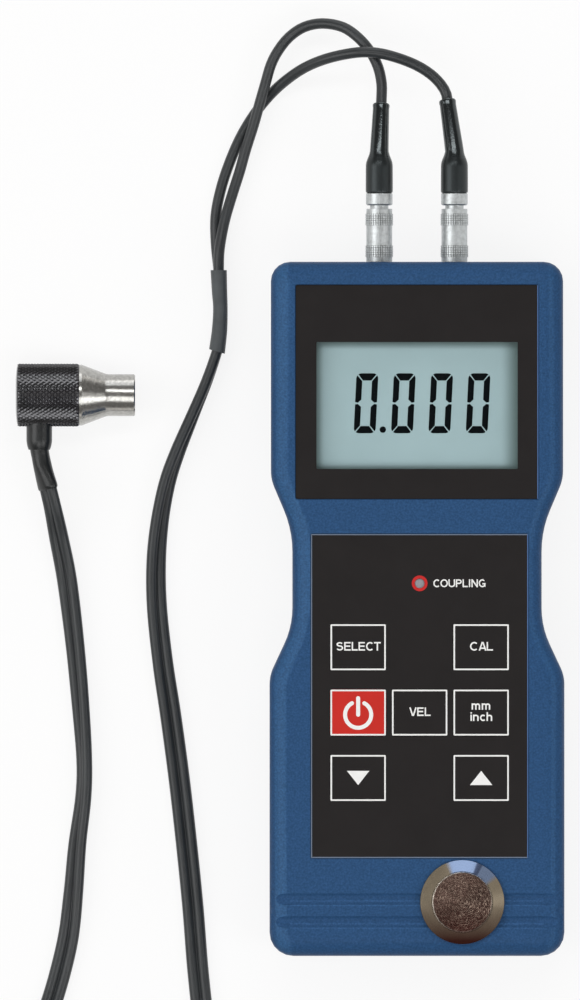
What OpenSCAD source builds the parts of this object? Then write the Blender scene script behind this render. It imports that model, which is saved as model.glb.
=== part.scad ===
// Hand-held ultrasonic thickness gauge with a two-plug lead and a dual-element probe.
// The gauge lies on its back: X runs to the right, Y towards the sockets, Z out of the face.
// The origin is the middle of the back. All sizes are in millimetres.

/* [Housing] */
// Length of the housing
body_l = 161.5; // [152:0.5:176]
// Width of the display end
head_w = 68; // [66:0.5:76]
// Width of the keypad end
foot_w = 68.6; // [66:0.5:76]
// Width at the waist
waist_w = 58; // [54:0.5:62]
// Depth from the back to the face
body_t = 29; // [28:0.5:34]
// Thickness of the side walls
wall = 2.2; // [1.6:0.1:2.8]
// Thickness of the face
face_t = 2.4; // [2.1:0.1:3]
// Thickness of the back
back_t = 2.4; // [2:0.1:3]
// Height of the parting line above the back
part_z = 12; // [11:0.25:12.5]
// Round along the front edge
front_r = 4.2; // [2:0.1:5]
// Round along the back edge
back_r = 3; // [1.5:0.1:4]
// Corner radius at the display end
head_corner_r = 4.5; // [3:0.25:8]
// Corner radius at the keypad end
foot_corner_r = 5.5; // [3:0.25:8]
// Distance from the display end to the start of the waist
waist_start = 67.5; // [64:0.5:71]
// Straight length of the waist
waist_l = 13; // [8:0.5:20]
// Slope of the shoulder above the waist, in degrees from the long axis
shoulder_a = 23; // [18:1:32]
// Outer radius of the shoulder
shoulder_out_r = 10; // [8:0.5:14]
// Inner radius of the shoulder
shoulder_in_r = 25; // [18:0.5:30]
// Slope of the hip below the waist, in degrees from the long axis
hip_a = 25; // [18:1:32]
// Outer radius of the hip
hip_out_r = 9; // [8:0.5:14]
// Inner radius of the hip
hip_in_r = 20; // [14:0.5:26]
// Height of the locating lip at the parting line
lip_h = 1.2; // [0.8:0.1:2]
// Width of the finger grooves across the face
groove_w = 2.65; // [2:0.05:3.2]
// Depth of the finger grooves
groove_d = 1; // [0.6:0.05:1.3]
// Distance of the first finger groove from the keypad end
groove_start = 7.95; // [7:0.05:9]
// Distance between the two finger grooves
groove_pitch = 5.3; // [4:0.1:6]

/* [Display] */
// How far the panels lie below the face
panel_drop = 0.2; // [0.1:0.05:0.4]
// Thickness of the panels
panel_t = 0.6; // [0.4:0.05:0.8]
// Corner radius of the panels
panel_r = 0.5; // [0.3:0.1:3]
// Width of the display panel
display_w = 56.4; // [55:0.1:58]
// Length of the display panel
display_h = 49.7; // [48:0.1:51]
// Distance of the display panel from the display end
display_start = 5.45; // [5:0.05:7]
// Width of the window
window_w = 46.8; // [42:0.1:48]
// Length of the window
window_h = 29.5; // [26:0.1:30]
// Distance of the window's middle from the panel's upper edge
window_drop = 28; // [27:0.1:29]
// Thickness of the window pane
pane_t = 1; // [0.8:0.05:1.2]
// Hidden margin of the LCD round the window
lcd_margin = 2.6; // [2:0.1:3]
// Thickness of the LCD
lcd_t = 2.8; // [2:0.1:3]
// Depth of the LCD below the face
lcd_depth = 3.4; // [3.2:0.1:3.6]
// Wall of the LCD holder
holder_wall = 1.6; // [1.2:0.1:2]

/* [Keypad] */
// Width of the keypad panel
keypad_w = 50.5; // [49:0.1:53]
// Distance between the display panel and the keypad panel
panel_space = 8.2; // [7:0.1:10]
// Offset of the keypad panel to the right
keypad_x = 0.6; // [0:0.1:1]
// Distance of the keypad panel from the keypad end
keypad_start = 22.85; // [22.6:0.05:24]
// Width of a key
key_w = 12.9; // [11:0.1:13.2]
// Length of a key
key_h = 10.7; // [9:0.1:12]
// Corner radius of a key
key_r = 0.8; // [0.4:0.1:2]
// Distance between key columns
key_pitch_x = 14.3; // [14.2:0.1:15]
// Distance between key rows
key_pitch_y = 15.2; // [14:0.1:16.5]
// Distance of the middle key row from the panel's lower edge
key_mid = 33.8; // [32:0.1:35]
// Key travel
key_travel = 0.4; // [0.2:0.05:0.6]
// Width of the retaining flange round a key
key_flange = 0.5; // [0.4:0.05:0.6]
// Thickness of the retaining flange
key_flange_t = 0.8; // [0.5:0.1:1]
// Height of a switch with its plunger
tact_h = 2.3; // [1.8:0.1:2.6]
// Diameter of the coupling light's window
led_d = 2.25; // [2:0.05:2.6]
// Distance of the coupling light from the panel's upper edge
led_drop = 11.5; // [10:0.1:13]

/* [Test block] */
// Diameter of the test block
block_d = 19.5; // [18:0.1:20]
// Diameter of its measuring face
block_face_d = 13.8; // [12:0.1:15]
// Thickness of the test block
block_t = 5; // [4.5:0.1:5.2]
// How far it stands above the face
block_proud = 3; // [2.6:0.1:3.2]
// Height of its upright rim above the face
block_rim = 0.9; // [0.5:0.1:1.4]
// Depth of the measuring face below its edge
block_dish = 0.2; // [0.1:0.05:0.3]
// Offset of the test block to the right
block_x = 10.5; // [6:0.5:14]
// Distance of the test block from the keypad end
block_start = 12.6; // [12.4:0.1:12.8]

/* [Board and screws] */
// Thickness of the circuit board
board_t = 1.6; // [1:0.1:1.8]
// Diameter of the screw shanks
screw_d = 2.5; // [2:0.1:2.8]
// Diameter of the housing screw heads
screw_head_d = 4.8; // [4.4:0.1:5]
// Height of the screw heads
screw_head_h = 1.8; // [1.4:0.1:2.2]
// Depth of the screw heads below the back
screw_sink = 3; // [2.6:0.1:4]
// Diameter of the screw posts
post_d = 6.4; // [6:0.1:6.6]
// Distance of the screw posts from the side walls
post_inset = 5.8; // [5.6:0.1:6]
// Distance of the screw posts from the ends
post_end = 8; // [7.8:0.1:9]

/* [Batteries] */
// Diameter of a cell
cell_d = 10.5; // [9.8:0.1:10.6]
// Length of a cell with its button
cell_l = 44.5; // [42:0.1:46]
// Space between the cells
cell_gap = 0.4; // [0.3:0.05:0.6]
// Space for a contact spring
spring_l = 4; // [3:0.1:5]
// Thickness of the contact plates
plate_t = 0.4; // [0.3:0.05:0.6]
// Distance of the cells' space from the keypad end
bay_start = 8.5; // [8:0.1:10]
// Wall of the cells' space
bay_wall = 1.4; // [1:0.1:1.6]
// Width of the battery cover
cover_w = 46; // [45.4:0.1:46.4]
// Thickness of the battery cover
cover_t = 2; // [1.8:0.05:2.1]
// How far the battery cover reaches past the cells' space
cover_lap = 3; // [2.5:0.1:4]
// Width of the cover's guide tongues
tongue_w = 1; // [0.6:0.1:1.2]
// Thickness of the cover's guide tongues
tongue_t = 1; // [0.6:0.1:1.1]

/* [Sockets and plugs] */
// Height of the sockets above the back
socket_z = 17.6; // [17.4:0.1:18.5]
// Distance of each socket from the middle
socket_x = 8.75; // [8:0.25:12]
// Diameter of a socket's flange
socket_flange_d = 8.4; // [8:0.1:8.6]
// Diameter of a socket's thread
socket_d = 7; // [6.4:0.1:7.2]
// Length of a socket
socket_l = 12; // [11:0.1:13]
// Diameter of a plug's nose
nose_d = 4; // [3.6:0.1:4.2]
// Length of a plug's nose in its socket
nose_l = 8.5; // [7:0.1:9]
// Diameter of a latch sleeve
sleeve_d = 6.2; // [5.8:0.1:6.8]
// Length of a latch sleeve
sleeve_l = 12.3; // [10:0.1:14]
// Travel of a latch sleeve
sleeve_travel = 0.7; // [0.4:0.05:1]
// Diameter of a plug's neck
neck_d = 4.3; // [4.2:0.05:4.6]
// Length of a collet nut
nut_l = 3; // [2.4:0.1:4]
// Length of a boot's thick end
boot_bulge_l = 6.5; // [5:0.1:9]
// Length of a boot's shoulder
boot_shoulder_l = 3.3; // [2.5:0.1:4.5]
// Length of a boot's thin end
boot_tail_l = 10.8; // [9:0.1:14]
// Diameter of a boot's thin end at its tip
boot_tip_d = 3.85; // [3.4:0.05:4.2]

/* [Probe] */
// Diameter of the knurled cap
cap_d = 14.7; // [13:0.1:17]
// Length of the knurled cap
cap_l = 14.8; // [12:0.1:18]
// Diameter of the probe's nose
probe_nose_d = 9.8; // [9:0.1:11]
// Length of the probe's nose
probe_nose_l = 6.6; // [5:0.1:9]
// Length of the cone behind the nose
cone_l = 5.8; // [4:0.1:8]
// Diameter of the wide end of the cone
cone_d = 14.2; // [12:0.1:14.6]
// Diameter of the shank inside the cap
shank_d = 11; // [10.4:0.1:11.4]
// Diameter of the two delay blocks
delay_d = 7.6; // [6:0.1:8]
// Thickness of the acoustic barrier
barrier_t = 0.5; // [0.3:0.1:0.8]
// Diameter of the side ferrule
ferrule_d = 6; // [5:0.1:7]
// Length of the side ferrule
ferrule_l = 5.4; // [4:0.1:8]
// Diameter of the probe's strain relief, which is wider than the cord
relief_d = 4.6; // [4.4:0.1:5.4]
// Length of the probe's strain relief
relief_l = 9.4; // [7:0.1:12]
// Lean of the strain relief, in degrees
relief_lean = 13; // [0:1:20]

/* [Lead] */
// Diameter of the single cords
cord_d = 2.5; // [2.2:0.05:2.5]
// Width of the flat twin cord
twin_w = 5; // [4.4:0.1:5]
// Radius of the coil at the middle of the cord
coil_r = 27; // [25:0.5:30]
// Turns in the coil
coil_turns = 3.5; // [2.5:1:4.5]
// Thickness of the coil's tie
tie_t = 0.8; // [0.6:0.1:1]
// Width of the coil's tie
tie_w = 5; // [3:0.5:8]

/* [Hidden] */
$fn = 48;
// Gap between pieces that slide on each other
slide_gap = 0.15;
// Gap round pieces that drop into a seat
seat_gap = 0.15;
// Gap round the panels
panel_gap = 0.15;
// Gap between a round piece and its bore
bore_gap = 0.05;
// Overlap that fuses the features of one moulding
fuse = 0.2;
// How far a cut runs past the surface that it opens
cut = 1;
// Steps in an arc of the housing outline, and in the round along its edge
arc_steps = 5;
edge_steps = 6;
// Smallest corner radius left where the edge round eats a corner
least_r = 0.25;

top_y = body_l / 2;
bottom_y = -top_y;
head_x = head_w / 2;
foot_x = foot_w / 2;
waist_x = waist_w / 2;

// Levels in the stack from the face inwards
inside_z = body_t - face_t;
panel_z = body_t - panel_drop - panel_t;
lcd_z = body_t - lcd_depth - lcd_t;
key_flange_z = inside_z - slide_gap - key_flange_t;
key_stem_l = 0.8;
board_z = key_flange_z - key_stem_l - key_travel - slide_gap - tact_h - board_t;
board_top_z = board_z + board_t;

// Middles of the features on the face
display_y = top_y - display_start - display_h / 2;
window_y = top_y - display_start - window_drop;
keypad_h = body_l - display_start - display_h - panel_space - keypad_start;
keypad_y = bottom_y + keypad_start + keypad_h / 2;
key_mid_y = bottom_y + keypad_start + key_mid;
led_x = keypad_x;
led_y = bottom_y + keypad_start + keypad_h - led_drop;
block_y = bottom_y + block_start;
block_seat = block_t - block_proud;
block_seat_rib = 1.2;
block_seat_wall = 1.5;
led_body_d = 3;
led_flange = 0.4;
led_flange_t = 1;
led_edge = 0.2;
groove_r = (pow(groove_w / 2, 2) + pow(groove_d, 2)) / (2 * groove_d);

// Display stack
pane_margin = 3;
rebate_w = window_w + 2 * pane_margin;
rebate_h = window_h + 2 * pane_margin;
opening_lap = 1.5;
lcd_w = window_w + 2 * lcd_margin;
lcd_h = window_h + 2 * lcd_margin;
holder_w = lcd_w + 2 * (seat_gap + holder_wall);
holder_h = lcd_h + 2 * (seat_gap + holder_wall);
holder_ledge = 1.2;
strip_w = 2;

// Keys: name, column from the middle, row down from the upper one
KEYS = [
  ["key_mode", -1, 0],
  ["key_zero", 1, 0],
  ["key_power", -1, 1],
  ["key_speed", 0, 1],
  ["key_unit", 1, 1],
  ["key_down", -1, 2],
  ["key_up", 1, 2]
];
function key_spot(k) = [keypad_x + k[1] * key_pitch_x, key_mid_y + (1 - k[2]) * key_pitch_y];
tact_w = 6;
plunger_h = 0.7;
plunger_d = 3.4;

// Board: a wide head behind the display and a stem through the waist
board_edge = 0.6;
board_head_w = holder_w + 2 * board_edge;
board_wall_gap = 0.8;
board_stem_w = waist_w - 2 * (wall + board_wall_gap);
board_head_y = window_y + holder_h / 2 + board_edge;
board_neck_y = window_y - holder_h / 2 - board_edge;
board_foot_lap = 6;
board_foot_y = bottom_y + keypad_start - board_foot_lap;
board_post_d = 4.6;
board_post_inset = 3.4;
board_screw_d = 2;
board_head_d = 3.8;
board_head_h = 1.2;
board_screw_neck = 9;
board_screw_foot = 4;
board_screw_spots = [
  for (y = [board_neck_y - board_screw_neck, board_foot_y + board_screw_foot])
    for (s = [-1, 1]) [s * (board_stem_w / 2 - board_post_inset), y]
];

// Posts for the four housing screws
post_spots = [
  for (s = [-1, 1])
    for (e = [[head_x, top_y - post_end], [foot_x, bottom_y + post_end]])
      [s * (e[0] - post_inset), e[1]]
];
screw_grip = 8;
screw_tip_z = part_z + screw_grip;

// Battery bay
cell_pitch = cell_d + cell_gap;
bay_w = 4 * cell_pitch + cell_gap;
bay_l = cell_l + spring_l + 2 * plate_t;
bay_y = bottom_y + bay_start;
bay_floor_z = cover_t + slide_gap;
bay_roof_z = bay_floor_z + cell_gap + cell_d + cell_gap;
cell_z = bay_floor_z + cell_gap + cell_d / 2;
cover_end_y = bay_y + bay_l + cover_lap;
button_d = 3.8;
button_l = 0.9;
plate_w = 8;
wire_d = 0.7;
spring_turns = 3;
spring_base_r = 3.6;
spring_tip_r = 2.4;
grip_w = 18;
grip_ridges = 6;
grip_pitch = 2;
grip_d = 0.5;
grip_start = 6;
function cell_x(i) = (i - 1.5) * cell_pitch;
function cell_turn(i) = (i % 2 == 0) ? 1 : -1;

// Sockets and plugs, measured from the display end
socket_flange_t = 0.8;
socket_sink = 0.1;
socket_nut_l = 2;
socket_nut_d = socket_flange_d;
nut_slot_w = 1;
nut_slot_d = 0.8;
nose_room = 1;
thread_step = 0.25;
plug_thread_d = neck_d - 2 * thread_step;
sleeve_bore_gap = 0.1;
sleeve_start = 0.1;
nut_gap = 0.1;
sleeve_end = sleeve_start + sleeve_l;
nut_start = sleeve_end + sleeve_travel + nut_gap;
boot_start = nut_start + nut_l;
boot_waist_d = 4.45;
// How far the knuckle stands out where a boot starts to lean
boot_knuckle = 0.05;
boot_shoulder_steps = 5;
boot_bend = boot_start + boot_bulge_l + boot_shoulder_l;
// Straight length of a cord at its boot
cord_lead = 1.5;
// Each side: name, which way it lies from the middle, lean of its boot in degrees
SIDES = [["left", -1, -2.5], ["right", 1, 8]];
function side_x(s) = s[1] * socket_x;
function boot_axis(s) = [-sin(s[2]), cos(s[2]), 0];
function boot_tip(s) = [side_x(s), top_y + boot_bend, socket_z] + boot_tail_l * boot_axis(s);

// Probe, lying on the table beside the gauge with its nose towards +X
cap_end_x = -93.5;
probe_y = 49.8;
probe_z = cap_d / 2;
probe_rim_l = 0.6;
cone_hollow_r = 4;
cone_hollow_steps = 4;
probe_face_x = cap_end_x + cap_l + probe_rim_l + cone_l + probe_nose_l;
cap_floor = 3;
delay_l = 5;
ferrule_inset = 5.45;
ferrule_x = cap_end_x + ferrule_inset;
ferrule_root_y = probe_y - cap_d / 2;
ferrule_stem_d = 4;
ferrule_stem_l = 1.2;
ferrule_taper = 0.5;
ferrule_steps = 4;
ferrule_sink = 0.2;
ferrule_seat = cap_d / 2 - sqrt(pow(cap_d / 2, 2) - pow(ferrule_d / 2, 2)) + ferrule_sink;
relief_root = [ferrule_x, ferrule_root_y - ferrule_l, probe_z];
relief_axis = [sin(relief_lean), -cos(relief_lean), 0];
relief_tip = relief_root + relief_l * relief_axis;

// Routes of the cords on the table: x, y, z of each point
twin_t = twin_w / 2;
cord_sides = 8;
flat_steps = 5;
left_points = [
  [-8.2, 122.4, 17], [-9, 126.2, 15.2], [-10.8, 129.8, 13.3], [-13.6, 133.1, 12], [-17.2, 135.6, 10.2],
  [-21.9, 136.5, 8.4], [-26.2, 135.7, 7], [-29.7, 133.4, 6], [-32.3, 130.2, 5.4], [-34, 126.9, 5],
  [-35.3, 122.5, 4.7], [-36.6, 118, 4.3], [-38, 113, 3.8], [-39.9, 107, 3.2], [-41.3, 102, 2.9],
  [-42.9, 97, 2.9], [-44.8, 90.5, 3.3], [-46, 84, 4.1], [-46.2, 79, 4.3]
];
right_points = [
  [5.6, 122.2, 17.5], [3.2, 124.6, 17.3], [-0.2, 126.7, 17.2], [-4.6, 128.4, 17.2], [-9.2, 129.5, 17],
  [-14, 129.6, 15.8], [-20.4, 128.4, 12], [-25.9, 126.3, 8.2], [-30.6, 123.2, 4.6], [-34.5, 119.6, 1.9],
  [-38, 115.2, 1.3], [-41.2, 109.8, 1.3], [-43.9, 103.5, 1.3], [-45.8, 97.5, 1.3], [-46.9, 91.5, 1.3],
  [-46.8, 85, 1.4], [-46.2, 79, 1.5]
];
split_points = [[-46.2, 79, 2.9], [-46, 74, 2.9], [-45.8, 70, 2.9], [-46, 65, 2.9], [-46.6, 60, 2.9]];
split_half_w = [1.9, 1.8, 1.7, 1.8, 1.9];
split_half_h = 2.9;
split_end_dir = [-0.28, -0.96, 0];

// The twin cord starts on edge and lies down flat: x, y, z and its roll in degrees
twin_a_points = [
  [-46.6, 60, 2.9, 90], [-49, 53, 2.6, 85], [-52.5, 44.5, 2.5, 76], [-56, 36, 2.4, 64],
  [-58.3, 29, 2.3, 54], [-60, 20, 2.1, 44], [-60.8, 10.5, 2, 33], [-60.6, 0, 1.8, 25],
  [-59.2, -13, 1.6, 15], [-57.4, -25, 1.4, 6], [-55.4, -40, 1.3, 0], [-53.7, -55, 1.3, 0],
  [-52.2, -70, 1.3, 0], [-51, -85, 1.3, 0], [-49.5, -97, 1.5, 0], [-46.8, -107, 1.9, 0],
  [-44.4, -114, 2.05, 0]
];
twin_b_points = [
  [-93.4, -118, 8.6, 0], [-91.5, -110, 6, 0], [-88.6, -101, 3, 0], [-85.6, -93, 1.5, 0],
  [-83.2, -85, 1.3, 0], [-81.2, -76, 1.6, 12], [-80.1, -66, 2, 33], [-79.2, -55, 2.2, 45],
  [-77.8, -44, 2.4, 58], [-77.6, -35, 2.4, 60], [-78.5, -22, 2.2, 46], [-79.8, -8, 2.1, 38],
  [-81.6, 6.5, 2.3, 28], [-83.4, 16, 4, 34], [-84.8, 23, 6.4, 46]
];
coil_x = -67.8;
coil_y = -131;
lay_gap = 0.1;
tie_gap = 0.2;
coil_lay = twin_t + lay_gap;
coil_h = coil_turns * coil_lay + twin_t;

// Points of an arc, from one angle to another
function arc(centre, r, from, to) =
  [for (i = [0 : arc_steps]) let (a = from + (to - from) * i / arc_steps) centre + r * [cos(a), sin(a)]];

// Length of a shoulder along the housing, from the wide part to the waist
function slope_angle(step, r, a) = min(a, acos(1 - step / r));
function slope_length(step, r, a) =
  let (b = slope_angle(step, r, a)) r * sin(b) + (step - r * (1 - cos(b))) / tan(b);

// Outline of the housing, moved in by d: down the left side and up the right side
function right_side(d) =
  let (
    waist_hi = top_y - waist_start,
    waist_lo = waist_hi - waist_l,
    head_r = max(head_corner_r - d, least_r),
    foot_r = max(foot_corner_r - d, least_r),
    r_up = shoulder_out_r + shoulder_in_r,
    r_low = hip_out_r + hip_in_r,
    a_up = slope_angle(head_x - waist_x, r_up, shoulder_a),
    a_low = slope_angle(foot_x - waist_x, r_low, hip_a),
    shoulder_y = waist_hi + slope_length(head_x - waist_x, r_up, shoulder_a),
    hip_y = waist_lo - slope_length(foot_x - waist_x, r_low, hip_a)
  )
  concat(
    arc([head_x - d - head_r, top_y - d - head_r], head_r, 90, 0),
    arc([head_x - shoulder_out_r, shoulder_y], shoulder_out_r - d, 0, -a_up),
    arc([waist_x + shoulder_in_r, waist_hi], shoulder_in_r + d, 180 - a_up, 180),
    arc([waist_x + hip_in_r, waist_lo], hip_in_r + d, 180, 180 + a_low),
    arc([foot_x - hip_out_r, hip_y], hip_out_r - d, a_low, 0),
    arc([foot_x - d - foot_r, bottom_y + d + foot_r], foot_r, 0, -90)
  );
function outline(d) =
  let (right = right_side(d), last = len(right) - 1)
  concat([for (p = right) [-p.x, p.y]], [for (i = [last : -1 : 0]) right[i]]);

// Solid through rings of equal length, each running anticlockwise about the way forward
module loft(rings) {
  n = len(rings[0]);
  last = len(rings) - 1;
  polyhedron(
    points = [for (ring = rings) for (p = ring) p],
    faces = concat(
      [[for (j = [0 : n - 1]) j]],
      [for (i = [0 : last - 1]) for (j = [0 : n - 1])
        let (k = (j + 1) % n) [i * n + j, (i + 1) * n + j, (i + 1) * n + k]],
      [for (i = [0 : last - 1]) for (j = [0 : n - 1])
        let (k = (j + 1) % n) [i * n + j, (i + 1) * n + k, i * n + k]],
      [[for (j = [n - 1 : -1 : 0]) last * n + j]]
    ),
    convexity = 6
  );
}

// Round along the edges: height and how far the outline has moved in, step by step from the side wall
function edge_angle(i) = 90 * i / edge_steps;
function front_level(i) = [body_t - front_r * (1 - sin(edge_angle(i))), front_r * (1 - cos(edge_angle(i)))];
function back_level(i) = [back_r * (1 - sin(edge_angle(i))), back_r * (1 - cos(edge_angle(i)))];
// The last step of a round, carried on past the flat by its own length
function past_front() = 2 * front_level(edge_steps) - front_level(edge_steps - 1);
function past_back() = 2 * back_level(edge_steps) - back_level(edge_steps - 1);
front_levels = concat(
  [[part_z - cut, 0]],
  [for (i = [0 : edge_steps - 1]) front_level(i)],
  [past_front()]
);
back_levels = concat(
  [past_back()],
  [for (i = [edge_steps - 1 : -1 : 0]) back_level(i)],
  [[part_z + cut, 0]]
);
lip_top_z = part_z + lip_h;

// The housing through its levels, cut off flat at two heights
module housing_loft(levels, from, to) {
  intersection() {
    loft([for (l = levels) [for (p = outline(l[1])) [p.x, p.y, l[0]]]]);
    translate([-body_l, -body_l, from]) cube([2 * body_l, 2 * body_l, to - from]);
  }
}

// Prism of the housing outline moved in by d, from one height to another
module outline_prism(d, from, to) {
  translate([0, 0, from]) linear_extrude(to - from) polygon(outline(d));
}

// Flat block with round corners, standing on z = 0
module plate(w, h, t, r) {
  c = [w / 2 - r, h / 2 - r];
  linear_extrude(t) polygon(concat(
    arc([c.x, c.y], r, 0, 90), arc([-c.x, c.y], r, 90, 180),
    arc([-c.x, -c.y], r, 180, 270), arc([c.x, -c.y], r, 270, 360)
  ));
}

module at(spot, z) {
  translate([spot.x, spot.y, z]) children();
}

// Turned piece on a plug's axis: z = 0 is the housing's end, +z points outwards
module on_plug_axis(s) {
  translate([side_x(s), top_y, socket_z]) rotate([-90, 0, 0]) children();
}

module front_housing() {
  color("SteelBlue") difference() {
    union() {
      difference() {
        housing_loft(front_levels, part_z, body_t);
        outline_prism(wall, part_z - cut, inside_z);
        outline_prism(wall / 2, part_z - cut, lip_top_z + seat_gap);
      }
      for (p = post_spots) at(p, part_z) cylinder(d = post_d, h = inside_z - part_z + fuse);
      for (p = board_screw_spots)
        at(p, board_top_z) cylinder(d = board_post_d, h = inside_z - board_top_z + fuse);
      at([block_x, block_y], inside_z - block_seat_rib)
        cylinder(d = block_d + 2 * block_seat_wall, h = block_seat_rib + fuse);
    }
    at([0, display_y], panel_z)
      plate(display_w + 2 * panel_gap, display_h + 2 * panel_gap, panel_t + panel_drop + cut, panel_r);
    at([0, window_y], panel_z - pane_t)
      plate(rebate_w + 2 * panel_gap, rebate_h + 2 * panel_gap, pane_t + cut, panel_r);
    at([0, window_y], inside_z - cut)
      plate(window_w + 2 * opening_lap, window_h + 2 * opening_lap, face_t + cut, panel_r);
    at([keypad_x, keypad_y], panel_z)
      plate(keypad_w + 2 * panel_gap, keypad_h + 2 * panel_gap, panel_t + panel_drop + cut, panel_r);
    for (k = KEYS)
      at(key_spot(k), inside_z - cut)
        plate(key_w + 2 * slide_gap, key_h + 2 * slide_gap, face_t + cut, key_r);
    at([led_x, led_y], inside_z - cut) cylinder(d = led_body_d + 2 * seat_gap, h = face_t + cut);
    for (i = [0, 1])
      translate([-foot_w, bottom_y + groove_start + i * groove_pitch, body_t - groove_d + groove_r])
        rotate([0, 90, 0]) cylinder(r = groove_r, h = 2 * foot_w);
    at([block_x, block_y], body_t - block_seat) cylinder(d = block_d + 2 * bore_gap, h = block_seat + cut);
    for (p = post_spots) at(p, part_z - cut) cylinder(d = screw_d, h = screw_tip_z - part_z + cut + fuse);
    for (p = board_screw_spots)
      at(p, board_top_z - cut) cylinder(d = board_screw_d, h = inside_z - board_top_z + cut);
    for (s = SIDES) on_plug_axis(s) {
      translate([0, 0, -wall - cut]) cylinder(d = socket_d + 2 * bore_gap, h = wall + 2 * cut);
      translate([0, 0, -socket_flange_t - socket_sink])
        cylinder(d = socket_flange_d + 2 * bore_gap, h = socket_flange_t + socket_sink + cut);
    }
  }
}

module rear_housing() {
  color("SteelBlue") difference() {
    union() {
      difference() {
        housing_loft(back_levels, 0, part_z);
        outline_prism(wall, back_t, part_z + cut);
      }
      difference() {
        outline_prism(wall / 2 + seat_gap, part_z - fuse, lip_top_z);
        outline_prism(wall, part_z - cut, lip_top_z + cut);
      }
      translate([-bay_w / 2 - bay_wall, bay_y - bay_wall, back_t - fuse])
        cube([bay_w + 2 * bay_wall, bay_l + 2 * bay_wall, bay_roof_z + bay_wall - back_t + fuse]);
      for (p = post_spots) at(p, back_t - fuse) cylinder(d = post_d, h = part_z - back_t + fuse);
    }
    translate([-bay_w / 2, bay_y, -cut]) cube([bay_w, bay_l, bay_roof_z + cut]);
    cover_slot();
    for (p = post_spots) at(p, -cut) {
      cylinder(d = screw_d + 2 * seat_gap, h = part_z + 2 * cut);
      cylinder(d = screw_head_d + 2 * seat_gap, h = screw_sink + screw_head_h + cut);
    }
  }
}

// Space of the battery cover, open at the keypad end
module cover_slot() {
  reach = cover_end_y + slide_gap - bottom_y + cut;
  half = cover_w / 2 + slide_gap;
  rail = half + tongue_w;
  translate([-half, bottom_y - cut, -cut]) cube([2 * half, reach, cover_t + slide_gap + cut]);
  translate([-rail, bottom_y - cut, cover_t - tongue_t - slide_gap])
    cube([2 * rail, reach, tongue_t + 2 * slide_gap]);
}

module battery_cover() {
  rail = cover_w / 2 + tongue_w;
  reach = cover_end_y - bottom_y + cut;
  color("SteelBlue") difference() {
    intersection() {
      housing_loft(back_levels, 0, part_z);
      union() {
        translate([-cover_w / 2, bottom_y - cut, -cut]) cube([cover_w, reach, cover_t + cut]);
        translate([-rail, bottom_y - cut, cover_t - tongue_t]) cube([2 * rail, reach, tongue_t]);
      }
    }
    for (i = [0 : grip_ridges - 1])
      translate([-grip_w / 2, cover_end_y - grip_start - i * grip_pitch, -cut])
        cube([grip_w, grip_pitch / 2, grip_d + cut]);
  }
}

module housing_screws() {
  color("Silver") for (p = post_spots) at(p, screw_sink) {
    cylinder(d = screw_head_d, h = screw_head_h);
    cylinder(d = screw_d - 2 * bore_gap, h = screw_tip_z - screw_sink);
  }
}

module display_panel() {
  color([0.17, 0.165, 0.165]) difference() {
    at([0, display_y], panel_z) plate(display_w, display_h, panel_t, panel_r);
    at([0, window_y], panel_z - cut) plate(window_w, window_h, panel_t + 2 * cut, panel_r / 2);
  }
}

module display_window() {
  color([0.8, 0.9, 0.92, 0.5])
    at([0, window_y], panel_z - pane_t) plate(rebate_w, rebate_h, pane_t, panel_r);
}

module lcd_module() {
  color([0.61, 0.7, 0.71]) at([0, window_y], lcd_z) plate(lcd_w, lcd_h, lcd_t, panel_r / 2);
}

module lcd_holder() {
  color("DimGray") at([0, window_y], board_top_z) difference() {
    plate(holder_w, holder_h, lcd_z + lcd_t - board_top_z, panel_r);
    translate([0, 0, lcd_z - board_top_z])
      plate(lcd_w + 2 * seat_gap, lcd_h + 2 * seat_gap, lcd_t + cut, panel_r / 2);
    translate([0, 0, -cut])
      plate(lcd_w - 2 * holder_ledge, lcd_h - 2 * holder_ledge, lcd_z - board_top_z + 2 * cut, panel_r / 2);
  }
}

module lcd_contact_strips() {
  strip_y = lcd_h / 2 - holder_ledge - strip_w;
  color("Gainsboro") for (s = [-1, 1])
    translate([-window_w / 2, window_y + s * strip_y - strip_w / 2, board_top_z])
      cube([window_w, strip_w, lcd_z - board_top_z]);
}

module keypad_panel() {
  color([0.17, 0.165, 0.165]) difference() {
    at([keypad_x, keypad_y], panel_z) plate(keypad_w, keypad_h, panel_t, panel_r);
    for (k = KEYS)
      at(key_spot(k), panel_z - cut)
        plate(key_w + 2 * slide_gap, key_h + 2 * slide_gap, panel_t + 2 * cut, key_r);
    at([led_x, led_y], panel_z - cut) cylinder(d = led_d + 2 * seat_gap, h = panel_t + 2 * cut);
  }
}

// Key cap with a flange that keeps it in the housing, and a stem that meets its switch
module key(k) {
  brim = 2 * (slide_gap + key_flange);
  color(k[0] == "key_power" ? "Firebrick" : [0.17, 0.165, 0.165]) at(key_spot(k), 0) {
    translate([0, 0, key_flange_z]) plate(key_w, key_h, panel_z + panel_t - key_flange_z, key_r);
    translate([0, 0, key_flange_z]) plate(key_w + brim, key_h + brim, key_flange_t, key_r);
    translate([0, 0, key_flange_z - key_stem_l]) cylinder(d = plunger_d, h = key_stem_l + fuse);
  }
}

module key_switches() {
  color("DarkGray") for (k = KEYS) at(key_spot(k), board_top_z) {
    translate([-tact_w / 2, -tact_w / 2, 0]) cube([tact_w, tact_w, tact_h - plunger_h]);
    cylinder(d = plunger_d, h = tact_h);
  }
}

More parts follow.
